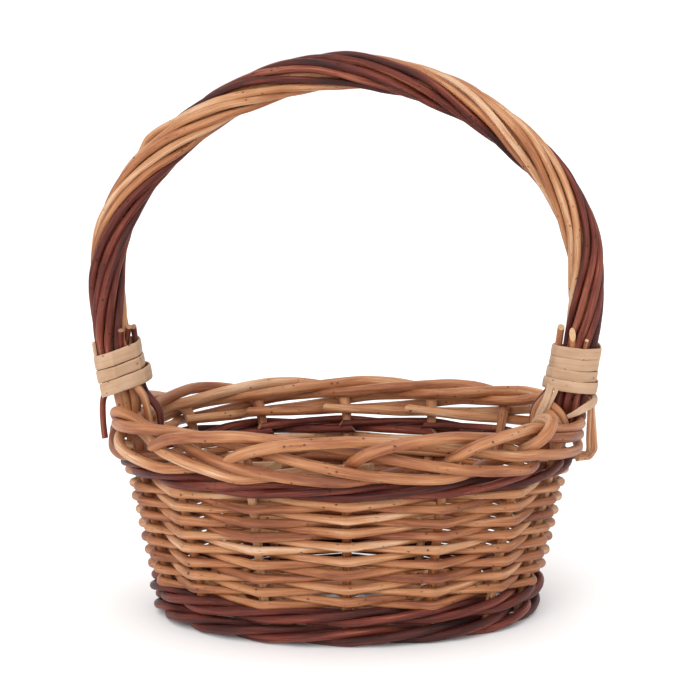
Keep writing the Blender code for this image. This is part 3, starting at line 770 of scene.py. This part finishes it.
# Handle: a bow with ten rods roped round it, and short stays beside its legs
BOW_FOOT_RISE = 0.0020
BOW_SWELL_DROP = 0.0048
ARCH_HALF_SPAN = 0.1195
ARCH_SPRING_HEIGHT = BORDER_HEIGHT + 0.0772
ARCH_RISE = 0.1035
ARCH_SHOULDER_PULL = 0.0030
ARCH_TOP_DROP = 0.0015
BOW_DIAMETER = 0.0092
BOW_STEP = 0.0025
HANDLE_ROD = 0.0039
HANDLE_RODS = 10
DARK_HANDLE_RODS = 5
HANDLE_STOUTNESS = (0.92, 1.10)
HANDLE_TONES = {"dark": (0.22, 0.78), "light": (0.38, 0.94)}
HANDLE_ROOM = 0.0006
HANDLE_TURNS = 2.19
HANDLE_DARK_START_TURN = 0.106
HANDLE_STATIONS = 110
HANDLE_END_HEIGHT = BORDER_HEIGHT + 0.0136
HANDLE_STRAIGHT_SHARE = 0.068
HANDLE_FIRM_SHARE = 0.125
HANDLE_STRAY_TURN = 0.034
HANDLE_STRAY_WAVES = 11
HANDLE_LIFT = 0.0010
HANDLE_LIFT_WAVES = 19
KINKED_ROD = 5
KINK_PLACE = 0.283
KINK_SPAN = 0.034
KINK_REACH = 0.0030
HANDLE_HIDDEN_STATIONS = 3
HANDLE_TAIL_STATIONS = 2
# Below the binding: how high over the border, how far from the bow's middle and how thick the rods end, in
# millimetres and as a share of their thickness
LEG_END = ((10.6, 6.1, 0.86), (6, 5.4, 0.80), (1.5, 5.2, 0.76))
# The tails outside the border, as their rise over it and their way outward in millimetres
LEFT_TAIL = ((16, 9.9), (10.5, 11.6), (2.8, 13.1), (-4.5, 13.9))
RIGHT_TAIL = ((17, 9.2), (13, 10.8), (8, 12.2), (-4, 15.2), (-10, 16.8), (-12.2, 16.3))
# The same and their way along the wall
RIGHT_TAIL_FOOT = ((-13.3, 14.6, -0.8), (-13.5, 12, -1.8), (-13.5, 9.6, -3), (-13.3, 8, -5))
TAIL_RADIUS = 0.0011
LEFT_TAIL_RADIUS = 0.00154
TAIL_SPREAD = 2.0
TAIL_SPREAD_START_SHARE = 0.25
TAIL_SPREAD_FALL = 30
TAIL_FAN = 0.6


def bow_line():
    """Points of the bow's middle line from the left leg's foot over the arch to the right leg's foot.

    The arch is an ellipse with its shoulders pulled in a little.
    """
    wall_foot = Vector((FOOT_HALF_LENGTH, 0, 0))
    wall_run = Vector((RIM_HALF_LENGTH - FOOT_HALF_LENGTH, 0, BORDER_HEIGHT)) / BORDER_HEIGHT
    swell_height = BORDER_HEIGHT - BOW_SWELL_DROP
    wall_top = wall_foot + wall_run * swell_height
    spring = Vector((ARCH_HALF_SPAN, 0, ARCH_SPRING_HEIGHT))
    span = ARCH_SPRING_HEIGHT - swell_height
    foot_height = FOOT_TOP + BOW_FOOT_RISE
    rise = swell_height - foot_height
    steps = round(rise / BOW_STEP)
    half = [wall_foot + wall_run * (foot_height + rise * index / steps) for index in range(steps)]
    steps = round(span / BOW_STEP)
    for share in (index / steps for index in range(steps)):
        start = wall_top * (2 * share**3 - 3 * share**2 + 1)
        leave = wall_run * span * (share**3 - 2 * share**2 + share)
        end = spring * (3 * share**2 - 2 * share**3)
        arrive = Vector((0, 0, span)) * (share**3 - share**2)
        half.append(start + leave + end + arrive)
    steps = round(math.pi / 2 * (ARCH_HALF_SPAN + ARCH_RISE) / 2 / BOW_STEP)
    for angle in (math.pi / 2 * index / steps for index in range(steps)):
        pull = ARCH_SHOULDER_PULL * math.sin(2 * angle) ** 2 + ARCH_TOP_DROP * math.sin(angle) ** 2
        across, up = (ARCH_HALF_SPAN - pull) * math.cos(angle), (ARCH_RISE - pull) * math.sin(angle)
        half.append(Vector((across, 0, ARCH_SPRING_HEIGHT + up)))
    top = Vector((0, 0, ARCH_SPRING_HEIGHT + ARCH_RISE - ARCH_TOP_DROP))
    left = [Vector((-point.x, 0, point.z)) for point in half]
    return left + [top] + half[::-1]


class BowGuide:
    """The bow's middle line by its length, with the direction that faces out of the arch."""

    def __init__(self):
        self.points = bow_line()
        self.lengths = [0]
        for start, end in zip(self.points, self.points[1:]):
            self.lengths.append(self.lengths[-1] + (end - start).length)

    def beside(self, length, outward=0.0, front=0.0):
        """A point beside the bow, so far out of the arch and so far to the front."""
        index = 0
        while index < len(self.points) - 2 and self.lengths[index + 1] < length:
            index += 1
        start, end = self.points[index], self.points[index + 1]
        run = end - start
        out = Vector((-run.z, 0, run.x)).normalized()
        middle = start + run * ((length - self.lengths[index]) / run.length)
        return middle + out * outward + Vector((0, -front, 0))

    def around(self, length, reach, angle):
        """A point so far from the bow's middle, at an angle that turns from the outside to the front."""
        return self.beside(length, reach * math.cos(angle), reach * math.sin(angle))

    def length_at_height(self, height, right):
        """The length at which a leg passes a height."""
        for index, (start, end) in enumerate(zip(self.points, self.points[1:])):
            low, high = sorted((start.z, end.z))
            if low <= height <= high and (start.x > 0) == right:
                return self.lengths[index] + (height - start.z) / (end.z - start.z) * (end - start).length
        raise ValueError(f"the bow doesn't pass {height}")


BOW = BowGuide()


def make_bow():
    """The thick rod inside the handle. It swells from the legs in the weave to the full bow."""
    path = []
    swell_foot = BORDER_HEIGHT - BOW_SWELL_DROP
    for point in BOW.points:
        swell = min(max((point.z - swell_foot) / (HANDLE_END_HEIGHT - swell_foot), 0), 1)
        path.append(station(point, (BOW_LEG_DIAMETER + (BOW_DIAMETER - BOW_LEG_DIAMETER) * swell) / 2))
    path = even_stations(path)
    make_rod("handle_bow_rod", path, "light_willow", ["handle_bow"], tone=0.6, seed=5, wander=0)


def right_tail(spread):
    """The stations of a thin rod that runs down outside the border and turns to the front along the wall."""
    points = []
    for rise, outward in RIGHT_TAIL:
        spread_share = min(1, TAIL_SPREAD_START_SHARE + (RIGHT_TAIL[0][0] - rise) / TAIL_SPREAD_FALL)
        points.append(border_point(BOW_POSTS[0], rise, outward + spread * spread_share, spread * TAIL_FAN))
    for rise, outward, along in RIGHT_TAIL_FOOT:
        points.append(border_point(BOW_POSTS[0], rise - spread * TAIL_FAN, outward + spread, along))
    return [station(point, TAIL_RADIUS) for point in points]


def left_tail():
    return [station(border_point(BOW_POSTS[1], *place), LEFT_TAIL_RADIUS) for place in LEFT_TAIL]


def leg_end(turn, right, thickness):
    """The stations of a rope rod where it runs on down beside the leg of the bow, into the border."""
    stations = []
    for rise, reach, share in LEG_END:
        length = BOW.length_at_height(BORDER_HEIGHT + rise * MILLIMETRE, right)
        point = BOW.around(length, reach * MILLIMETRE, 2 * math.pi * turn)
        stations.append(station(point, thickness * share))
    return stations


def is_outermost(turn):
    return abs((turn + 0.5) % 1 - 0.5) < 0.5 / HANDLE_RODS


def roped_stations(number, first_turn, thickness):
    """The stations of a rope rod round the bow. It strays a little where no binding holds it."""
    start, end = (BOW.length_at_height(HANDLE_END_HEIGHT, right) for right in (False, True))
    stations = []
    for share in (index / HANDLE_STATIONS for index in range(HANDLE_STATIONS + 1)):
        loose = min(1, min(share, 1 - share) / HANDLE_FIRM_SHARE)
        stray = noise.noise(Vector((share * HANDLE_STRAY_WAVES, number * 5.1, 2))) * loose
        twisted = min(max((share - HANDLE_STRAIGHT_SHARE) / (1 - 2 * HANDLE_STRAIGHT_SHARE), 0), 1)
        away = BOW_DIAMETER / 2 + thickness + HANDLE_ROOM
        away += HANDLE_LIFT * loose * noise.noise(Vector((share * HANDLE_LIFT_WAVES, number * 3.3, 7)))
        if number == KINKED_ROD:
            away += KINK_REACH * max(0, 1 - abs(share - KINK_PLACE) / KINK_SPAN)
        turn = first_turn + HANDLE_TURNS * twisted + HANDLE_STRAY_TURN * stray
        point = BOW.around(start + (end - start) * share, away, 2 * math.pi * turn)
        stations.append(station(point, thickness))
    return stations


def make_handle_rods():
    """Ten rods roped round the bow, which run straight inside the bindings.

    Below the bindings the light ones run on at the left leg and the dark ones at the right leg, and the rest
    end inside the bindings. The outermost rod at each end runs on down outside the border.
    """
    for number in range(HANDLE_RODS):
        chance = random.Random(300 + number)
        shade = "dark" if number < DARK_HANDLE_RODS else "light"
        first_turn = HANDLE_DARK_START_TURN + (number - DARK_HANDLE_RODS // 2) / HANDLE_RODS
        last_turn = first_turn + HANDLE_TURNS
        thickness = HANDLE_ROD / 2 * chance.uniform(*HANDLE_STOUTNESS)
        stations = roped_stations(number, first_turn, thickness)
        if is_outermost(first_turn):
            stations = left_tail()[::-1] + stations[HANDLE_TAIL_STATIONS:]
        elif shade == "dark":
            stations = stations[HANDLE_HIDDEN_STATIONS:]
        else:
            stations = leg_end(first_turn, False, thickness)[::-1] + stations
        if is_outermost(last_turn):
            stations = stations[:-HANDLE_TAIL_STATIONS] + right_tail(0)
        elif shade == "dark":
            stations += leg_end(last_turn, True, thickness)
        else:
            stations = stations[:-HANDLE_HIDDEN_STATIONS]
        path = grown_path(flowing_path(stations, steps=4), seed=number + 90, lump=0.08, taper=0.10)
        node = f"handle_rod_{shade}_{number % DARK_HANDLE_RODS + 1}"
        tone = chance.uniform(*HANDLE_TONES[shade])
        seed = 120 + number * 2.9
        make_rod(f"{node}_bark", path, f"{shade}_willow", [node], tone, seed, wander=0.0004)
    for number, spread in enumerate((-TAIL_SPREAD, TAIL_SPREAD)):
        path = grown_path(flowing_path(right_tail(spread)), seed=number + 190)
        name = f"right_thin_tail_{number + 1}"
        make_rod(name, path, "light_willow", tone=1.0 + 0.2 * number, seed=210 + number * 3)


# The stays at the legs of the bow, the bindings round them and what sticks out of the bindings
STAY_ROD = 0.0039
STAY_REACH = BOW_DIAMETER / 2 + HANDLE_ROOM + HANDLE_ROD + CLEARANCE + STAY_ROD / 2
STAY_TOP = BORDER_HEIGHT + 0.0512
STAY_BEND = BORDER_HEIGHT + 0.0190
STAY_SHOULDER_RISE = 0.0100
STAY_DROP = 0.0048
STAY_SPREAD = 0.0055
# Each stay: whether it is at the right leg, how far it stands to the front, its slot, radius and top
STAYS = {
    "left_handle_stay": (False, 0.0006, "dark_willow", 0.0015, STAY_TOP),
    "left_second_stay": (False, 0.0046, "dark_willow", 0.0014, BORDER_HEIGHT + 0.0400),
    "right_handle_stay_front": (True, 0.0022, "light_willow", 0.0018, STAY_TOP),
    "right_handle_stay_back": (True, -0.0022, "dark_willow", 0.0017, STAY_TOP - 0.0100),
}
EXTRA_STAY = "left_second_stay"
STUB_LENGTH = 0.0130
STUB_TOP_REACH = 0.0110
STUB_FOOT_REACH = 0.0060
# Each stub: whether it is at the right leg, its turn round the leg, its slot, radius, top and slant
STUBS = {
    "left_dark_stub_1": (False, 0.42, "dark_willow", 0.0015, STAY_TOP + 0.0008, 0.5),
    "left_dark_stub_2": (False, 0.34, "dark_willow", 0.0015, STAY_TOP, 0.2),
    "right_light_stub_1": (True, 0.34, "light_willow", 0.0016, STAY_TOP - 0.0022, 2.2),
    "right_light_stub_2": (True, 0.23, "light_willow", 0.0010, STAY_TOP - 0.0040, 0.3),
}
CANE_THICKNESS = 0.0011
CANE_ROOM = 0.0004
CANE_CROWN_POINTS = 13
CANE_CROWN_POWERS = (0.55, 0.6)
CANE_CROWN_HEIGHT = 0.55
CANE_CROWN_DROP = 0.05
CANE_FLAT_SIDE = [(-0.93, -0.42), (0.93, -0.42)]
CANE_STOUTNESS = (0.985, 1.015)
CANE_SHARP_EDGE = math.radians(26)
LOOP_STATIONS = 48
CANE_FACETS = 6
FOLD_SHARE = 0.6
FLARE_TURNS = 1.6
SLIM_TURN = 1.3
SLIM_SHARPNESS = 2.2
BINDING_DENT = 0.0005
BINDING_DENT_TURN = 1.5
BINDING_DENT_WAVES = 2
BINDING_SLIP = 0.0004
BINDING_SLIP_WAVES = 1.7
# Each binding: how high over the border it starts, its pitch and width, its turns, where round the leg it
# starts, which way it winds, how steeply its turns rise to the inside, how much its foot flares out of the
# arch and into it in millimetres, and the share of its width that its second turn has at the front
LEFT_BINDING = dict(rise=0.0224, pitch=0.0070, width=0.0072, turns=3.1, start=0.0, way=1, tilt=0.08)
LEFT_BINDING |= dict(flare=(0, 3.6), slim=0.80)
RIGHT_BINDING = dict(rise=0.0217, pitch=0.0057, width=0.0058, turns=3.75, start=math.pi, way=-1, tilt=0.02)
RIGHT_BINDING |= dict(flare=(2.4, 1.2), slim=0.93)
# The loose ends of cane under the right binding, as X, Y and Z and their width in millimetres
RIGHT_STRIPS = (
    ((102.4, -4, 119, 3.5), (101.0, -9, 115.2, 3.5), (98.9, -12.4, 110, 3.6), (96, -13, 104, 3.5))
    + ((93.6, -12.4, 97.5, 3.2),),
    ((105.8, -5.6, 118.6, 1.9), (104.2, -10, 114.2, 1.9), (101.8, -11.6, 109.6, 1.9))
    + ((99.6, -11.6, 104.6, 1.6),),
    ((121.6, 5, 110.5, 4.4), (124.2, 0, 109.2, 4.4), (123.6, -5, 107.8, 4.4), (120.6, -9.6, 106.6, 4.2))
    + ((117, -12.4, 105.2, 3.8), (113.4, -13.6, 103.4, 3.0), (109.6, -13.8, 101.8, 2.0)),
)
# The light rods that come down inside the bindings, as X, Y and Z in millimetres
INNER_RODS = {
    "left": ((-108.5, -5.0, 124), (-105.4, -7.6, 117), (-101.2, -10.6, 111.4), (-99.2, -11, 103.9))
    + ((-98.4, -10.4, 97),),
    "right": ((101.4, -8.2, 107.4), (104.4, -11.2, 105.2), (106.9, -13, 102.2), (108.4, -13.8, 98.4))
    + ((108.2, -13.2, 94.4),),
}
INNER_ROD_RADIUS = 0.0020
OUTER_STRIP_PLACE = 0.112
OUTER_STRIP_TURN = 0.35


def make_stay(name, right, front, slot, radius, top):
    """A short rod that the binding holds against the handle. Its foot reaches down inside the border."""
    corners = []
    for height in (top, (top + STAY_BEND) / 2, STAY_BEND):
        inward = math.sqrt(STAY_REACH**2 - front**2)
        corners.append(station(BOW.beside(BOW.length_at_height(height, right), -inward, front), radius))
    for rise, spread in ((STAY_SHOULDER_RISE, STAY_SPREAD), (-STAY_DROP, STAY_SPREAD / 2)):
        place = wall_point(BOW_POSTS[0 if right else 1], BORDER_HEIGHT + rise, -STAY_REACH - spread)
        corners.append(station(Vector((place.x, -front, place.z)), radius))
    path = grown_path(flowing_path(corners), seed=front * 900 + 11)
    nodes = () if name == EXTRA_STAY else [name]
    make_rod(f"{name}_rod", path, slot, nodes, seed=front * 700 + 3, slants=(0.7, 0.6), facing=(0, -1, 0))


def make_stub(name, right, turn, slot, radius, top, slant):
    """The cut end of a rod that sticks out over the binding. The rest of it is hidden in the binding."""
    ends = []
    for height, reach in ((top, STUB_TOP_REACH), (top - STUB_LENGTH, STUB_FOOT_REACH)):
        point = BOW.around(BOW.length_at_height(height, right), reach, 2 * math.pi * turn)
        ends.append(station(point, radius))
    path = grown_path(even_stations(ends), seed=turn * 50)
    make_rod(name, path, slot, (), tone=0.6, seed=turn * 60, slants=(slant, 0), facing=(0, -1, 0.2), wander=0)


def strip_section():
    """The outline of split cane, as shares of half its width and of its thickness. It is crowned."""
    angles = [math.pi * index / (CANE_CROWN_POINTS - 1) for index in range(CANE_CROWN_POINTS)]
    crown = [(math.cos(angle), math.sin(angle)) for angle in angles]
    across, up = CANE_CROWN_POWERS
    top = [
        (math.copysign(abs(x) ** across, x), CANE_CROWN_HEIGHT * y**up - CANE_CROWN_DROP) for x, y in crown
    ]
    return top + CANE_FLAT_SIDE


def make_strip(name, spine, outwards, alongs, nodes=()):
    """A strip of cane along a spine, with the way it faces and the way its width runs at each station."""
    section = strip_section()
    vertices, faces, grain = [], [], []
    length = 0
    for index, (place, outward, along) in enumerate(zip(spine, outwards, alongs)):
        length += (place.xyz - spine[max(index - 1, 0)].xyz).length
        for across, deep in section:
            vertices.append(place.xyz + along * (across * place.w) + outward * (deep * CANE_THICKNESS))
            grain += [length, across * place.w, deep * CANE_THICKNESS]
    count = len(section)
    for low in range(0, len(vertices) - count, count):
        for side in range(count):
            after = (side + 1) % count
            faces.append((low + side, low + after, low + count + after, low + count + side))
    faces.append(tuple(range(count))[::-1])
    faces.append(tuple(range(len(vertices) - count, len(vertices))))
    mesh = bpy.data.meshes.new(name)
    mesh.from_pydata(vertices, [], faces)
    mesh.attributes.new("grain", "FLOAT_VECTOR", "POINT").data.foreach_set("vector", grain)
    mesh.materials.append(CANE_SKIN)
    turned = bmesh.new()
    turned.from_mesh(mesh)
    bmesh.ops.recalc_face_normals(turned, faces=turned.faces)
    turned.to_mesh(mesh)
    turned.free()
    mesh.shade_smooth()
    mesh.set_sharp_from_angle(angle=CANE_SHARP_EDGE)
    finish_piece(linked(name, mesh), nodes)


def pulled_straight(angle):
    """How much farther out a strip lies at an angle, as it runs straight from bend to bend round the rods."""
    side = 2 * math.pi / CANE_FACETS
    return 1 + FOLD_SHARE * (1 / math.cos((angle + side / 2) % side - side / 2) - 1)


def make_binding(name, right, rise, pitch, width, turns, start, way, tilt, flare, slim):
    """One strip of cane wound flat round the handle and its stays."""
    foot = BOW.length_at_height(BORDER_HEIGHT + rise, right)
    upward = -1 if right else 1
    snug = BOW_DIAMETER / 2 + HANDLE_ROOM + HANDLE_ROD + CANE_ROOM + CANE_THICKNESS / 2
    chance = random.Random(name)
    spine, outwards, alongs = [], [], []
    for turn in (index / LOOP_STATIONS for index in range(round(turns * LOOP_STATIONS) + 1)):
        angle = start + way * 2 * math.pi * turn
        outside, inside = max(0, math.cos(angle)), max(0, -math.cos(angle))
        radius = snug * pulled_straight(angle) + (STAY_ROD - CLEARANCE) * inside**2
        widening = flare[0] * outside + flare[1] * inside
        radius += widening * MILLIMETRE * max(0, 1 - turn / FLARE_TURNS)
        across, front = math.cos(angle) * BINDING_DENT_TURN, math.sin(angle) * BINDING_DENT_TURN
        radius += BINDING_DENT * noise.noise(Vector((across, front, turn * BINDING_DENT_WAVES)))
        slip = BINDING_SLIP * noise.noise(Vector((turn * BINDING_SLIP_WAVES, 5, 0)))
        length = foot + upward * (pitch * turn + slip - tilt * radius * math.cos(angle))
        middle = BOW.beside(length)
        place = BOW.around(length, radius, angle)
        slimness = 1 - (1 - slim) * max(0, 1 - abs(turn - SLIM_TURN) * SLIM_SHARPNESS)
        spine.append(station(place, width / 2 * slimness * chance.uniform(*CANE_STOUTNESS)))
        outwards.append((place - middle).normalized())
        alongs.append((BOW.beside(length + MILLIMETRE) - middle).normalized())
    make_strip(f"{name}_strip", spine, outwards, alongs, [name])


def make_flat_strip(name, places):
    """A loose strip of cane that shows its flat side to the front, or outward where it lies outside."""
    spine = flowing_path([Vector((*place[:3], place[3] / 2)) * MILLIMETRE for place in places])
    outwards, alongs = [], []
    for index, here in enumerate(spine):
        run = (spine[min(index + 1, len(spine) - 1)].xyz - spine[max(index - 1, 0)].xyz).normalized()
        facing = Vector((OUTER_STRIP_TURN if here.x > OUTER_STRIP_PLACE else 0, -1, 0.1))
        outward = (facing - run * facing.dot(run)).normalized()
        outwards.append(outward)
        alongs.append(run.cross(outward))
    make_strip(name, spine, outwards, alongs)


def make_binding_ends():
    """What sticks out of the bindings: cut stubs over them, loose strips and a light rod below them."""
    for name, stub in STUBS.items():
        make_stub(name, *stub)
    for number, places in enumerate(RIGHT_STRIPS):
        make_flat_strip(f"right_loose_strip_{number + 1}", places)
    for seed, (side, places) in enumerate(INNER_RODS.items(), start=230):
        path = flowing_path([station(Vector(place) * MILLIMETRE, INNER_ROD_RADIUS) for place in places])
        make_rod(f"{side}_inner_rod", grown_path(path, seed=seed), "light_willow", tone=0.55, seed=seed)


# Base: long sticks with fanned ends on short ones, and two weavers that chase each other round them
BASE_STICK = 0.0044
BASE_SHORT_HEIGHT = 0.0065
BASE_LONG_HEIGHT = BASE_SHORT_HEIGHT + BASE_STICK + CLEARANCE
BASE_FAN_PLACE = 0.0280
BASE_FAN_TURN_SHARES = (-0.125, 0, 0.125)
BASE_FAN_ROUNDING = 0.006
SHORT_STICK_PLACES = (-0.0220, 0, 0.0220)
BASE_WEAVER = 0.0038
BASE_WEAVER_PITCH = 0.0048
BASE_WEAVE_START = 0.0110
BASE_INNER_ROUNDS = 6.7
BASE_OUTER_ROUNDS = 2.4
BASE_ROUNDING = 0.0045
BASE_WALE_ROOM = 0.0006
BASE_EDGE_ROOM = 0.0009


def base_edge_reach(place, angle):
    """How far a stick reaches in a direction from a place on the long axis to the inside of the foot wale."""
    inner_side = post_reach(0, FOOT_ROD, BASE_WALE_ROOM) + FOOT_ROD / 2 + BASE_EDGE_ROOM
    half_length, half_width = (half - inner_side for half in wall_halves(BASE_SHORT_HEIGHT))
    across, along = math.sin(angle) / half_width, math.cos(angle) / half_length
    square = across**2 + along**2
    start = place / half_length
    return (math.sqrt((along * start) ** 2 + square * (1 - start**2)) - along * start) / square


def polar(place, reach, angle, height):
    """A point by its way in one direction from a place on the long axis, and its height."""
    return Vector((place + reach * math.cos(angle), reach * math.sin(angle), height))


def make_base_sticks():
    middle = len(BASE_FAN_TURN_SHARES) // 2
    for number, turn_share in enumerate(BASE_FAN_TURN_SHARES):
        angle = turn_share * 2 * math.pi
        beside = (number - middle) * (BASE_STICK + CLEARANCE)
        bend_reach = beside / math.sin(angle) if beside else BASE_STICK
        right = []
        for reach in (bend_reach, base_edge_reach(BASE_FAN_PLACE, angle)):
            right.append(station(polar(BASE_FAN_PLACE, reach, angle, BASE_LONG_HEIGHT), BASE_STICK / 2))
        left = [Vector((-place.x, place.y, place.z, place.w)) for place in right]
        path = grown_path(rounded_path(left[::-1] + right, BASE_FAN_ROUNDING), seed=number + 130)
        node = f"base_long_stick_{number + 1}"
        make_rod(f"{node}_rod", path, "light_willow", [node], tone=0.45, seed=160 + number, wander=0.0003)
    for number, place in enumerate(SHORT_STICK_PLACES):
        reach = base_edge_reach(abs(place) + BASE_STICK / 2, math.pi / 2)
        ends = [station(Vector((place, side * reach, BASE_SHORT_HEIGHT)), BASE_STICK / 2) for side in (-1, 1)]
        path = grown_path(even_stations(ends), seed=number + 140)
        node = f"base_short_stick_{number + 1}"
        make_rod(f"{node}_rod", path, "light_willow", [node], tone=0.4, seed=170 + number, wander=0.0003)


def stick_ends():
    """Each stick end that a round crosses, as the place it points from, its direction and its height."""
    right = [(BASE_FAN_PLACE, 2 * math.pi * share, BASE_LONG_HEIGHT) for share in BASE_FAN_TURN_SHARES]
    back = [(place, math.pi / 2, BASE_SHORT_HEIGHT) for place in SHORT_STICK_PLACES[::-1]]
    half = right + back
    return half + [(-place, angle + math.pi, height) for place, angle, height in half]


def bulged_middle(before, after, come, go):
    """The corner halfway between two stick ends, pushed out so that the round of weave is a curve."""
    turn = (go - come) % (2 * math.pi)
    push = (after.xyz - before.xyz).length / 2 * math.tan(turn / 4)
    facing = come + turn / 2
    return (before + after) / 2 + Vector((push * math.cos(facing), push * math.sin(facing), 0, 0))


def make_base_weavers():
    """Two weavers pass over and under the stick ends in turn, and their last rounds reach the foot wale."""
    lift = BASE_STICK / 2 + BASE_WEAVER / 2 + 2 * CLEARANCE
    ends = stick_ends()
    for weaver in range(2):
        corners = []
        for crossing in range(round((BASE_INNER_ROUNDS + BASE_OUTER_ROUNDS - 1) / 2 * len(ends))):
            place, angle, height = ends[crossing % len(ends)]
            done = 2 * crossing / len(ends) + weaver
            inner_reach = BASE_WEAVE_START + min(done, BASE_INNER_ROUNDS) * BASE_WEAVER_PITCH
            from_axis = math.acos(abs(math.cos(angle)))
            last_reach = base_edge_reach(abs(place), from_axis) - BASE_WEAVER / 2
            outer_share = max(0, done - BASE_INNER_ROUNDS) / BASE_OUTER_ROUNDS
            reach = inner_reach + (last_reach - inner_reach) * outer_share
            side = 1 if (crossing + weaver) % 2 else -1
            corner = station(polar(place, reach, angle, height + side * lift), BASE_WEAVER / 2)
            if corners:
                before = ends[(crossing - 1) % len(ends)][1]
                corners.append(bulged_middle(corners[-1], corner, before, angle))
            corners.append(corner)
        path = grown_path(rounded_path(corners, BASE_ROUNDING), seed=weaver + 150, lump=0.05)
        node = f"base_weaver_{weaver + 1}"
        make_rod(f"{node}_rod", path, "light_willow", [node], tone=0.55, seed=180 + weaver * 5, wander=0.0002)


# The studio
CAMERA_PLACE = (0.0015, -1.05, 0.310)
CAMERA_TILT = math.radians(9.56)
CAMERA_VIEW = math.radians(18.71)
FLOOR_HALF = 6.0
FLOOR_COLOUR = (0.985, 0.985, 0.985, 1)
AIR_BRIGHTNESS = 1.03
# Each light: the way it comes from, its strength and its softness in degrees
LIGHTS = {
    "key_light": ((-0.45, -1.0, 0.55), 1.3, 40),
    "fill_light": ((0.7, -0.9, 0.2), 0.20, 60),
    "top_light": ((0.0, -0.3, 1.0), 0.45, 60),
}


def make_floor():
    """A plain pale floor."""
    mesh = bpy.data.meshes.new("studio_floor")
    signs = ((-1, -1), (1, -1), (1, 1), (-1, 1))
    mesh.from_pydata([(FLOOR_HALF * x, FLOOR_HALF * y, 0) for x, y in signs], [], [(0, 1, 2, 3)])
    material, _, shader = new_material("studio_floor")
    shader["Base Color"].default_value = FLOOR_COLOUR
    shader["Roughness"].default_value = 0.9
    shader["Specular IOR Level"].default_value = 0.1
    mesh.materials.append(material)
    linked("studio_floor", mesh)


def make_studio():
    """A white, even room with soft lights, the key light from the front left."""
    make_floor()
    for name, (direction, strength, softness) in LIGHTS.items():
        data = bpy.data.lights.new(name, "SUN")
        data.energy = strength
        data.angle = math.radians(softness)
        linked(name, data).rotation_euler = (-Vector(direction)).to_track_quat("-Z", "Y").to_euler()
    world = bpy.data.worlds.new("studio_air")
    world.use_nodes = True
    air = world.node_tree.nodes["Background"].inputs
    air["Color"].default_value = (1, 1, 1, 1)
    air["Strength"].default_value = AIR_BRIGHTNESS
    bpy.context.scene.world = world
    bpy.context.scene.view_settings.view_transform = "Standard"


def make_camera():
    data = bpy.data.cameras.new("camera")
    data.sensor_width = 36
    data.lens = data.sensor_width / 2 / math.tan(CAMERA_VIEW / 2)
    data.clip_start, data.clip_end = 0.05, 50
    camera = linked("camera", data)
    camera.location = CAMERA_PLACE
    camera.rotation_euler = (math.pi / 2 - CAMERA_TILT, 0, 0)
    bpy.context.scene.camera = camera


make_camera()
make_studio()
make_wale("foot_wale_rod", FOOT_ROD, FOOT_PITCH, FOOT_ROUNDS, FOOT_START_POST, FOOT_LOW + FOOT_LIFT)
make_randing()
make_wale("top_wale_rod", TOP_ROD, TOP_PITCH, 1, TOP_START_POST, TOP_LOW)
make_stakes()
make_bow()
make_handle_rods()
for stay_name, stay in STAYS.items():
    make_stay(stay_name, *stay)
make_binding("left_handle_binding", False, **LEFT_BINDING)
make_binding("right_handle_binding", True, **RIGHT_BINDING)
make_binding_ends()
make_base_sticks()
make_base_weavers()
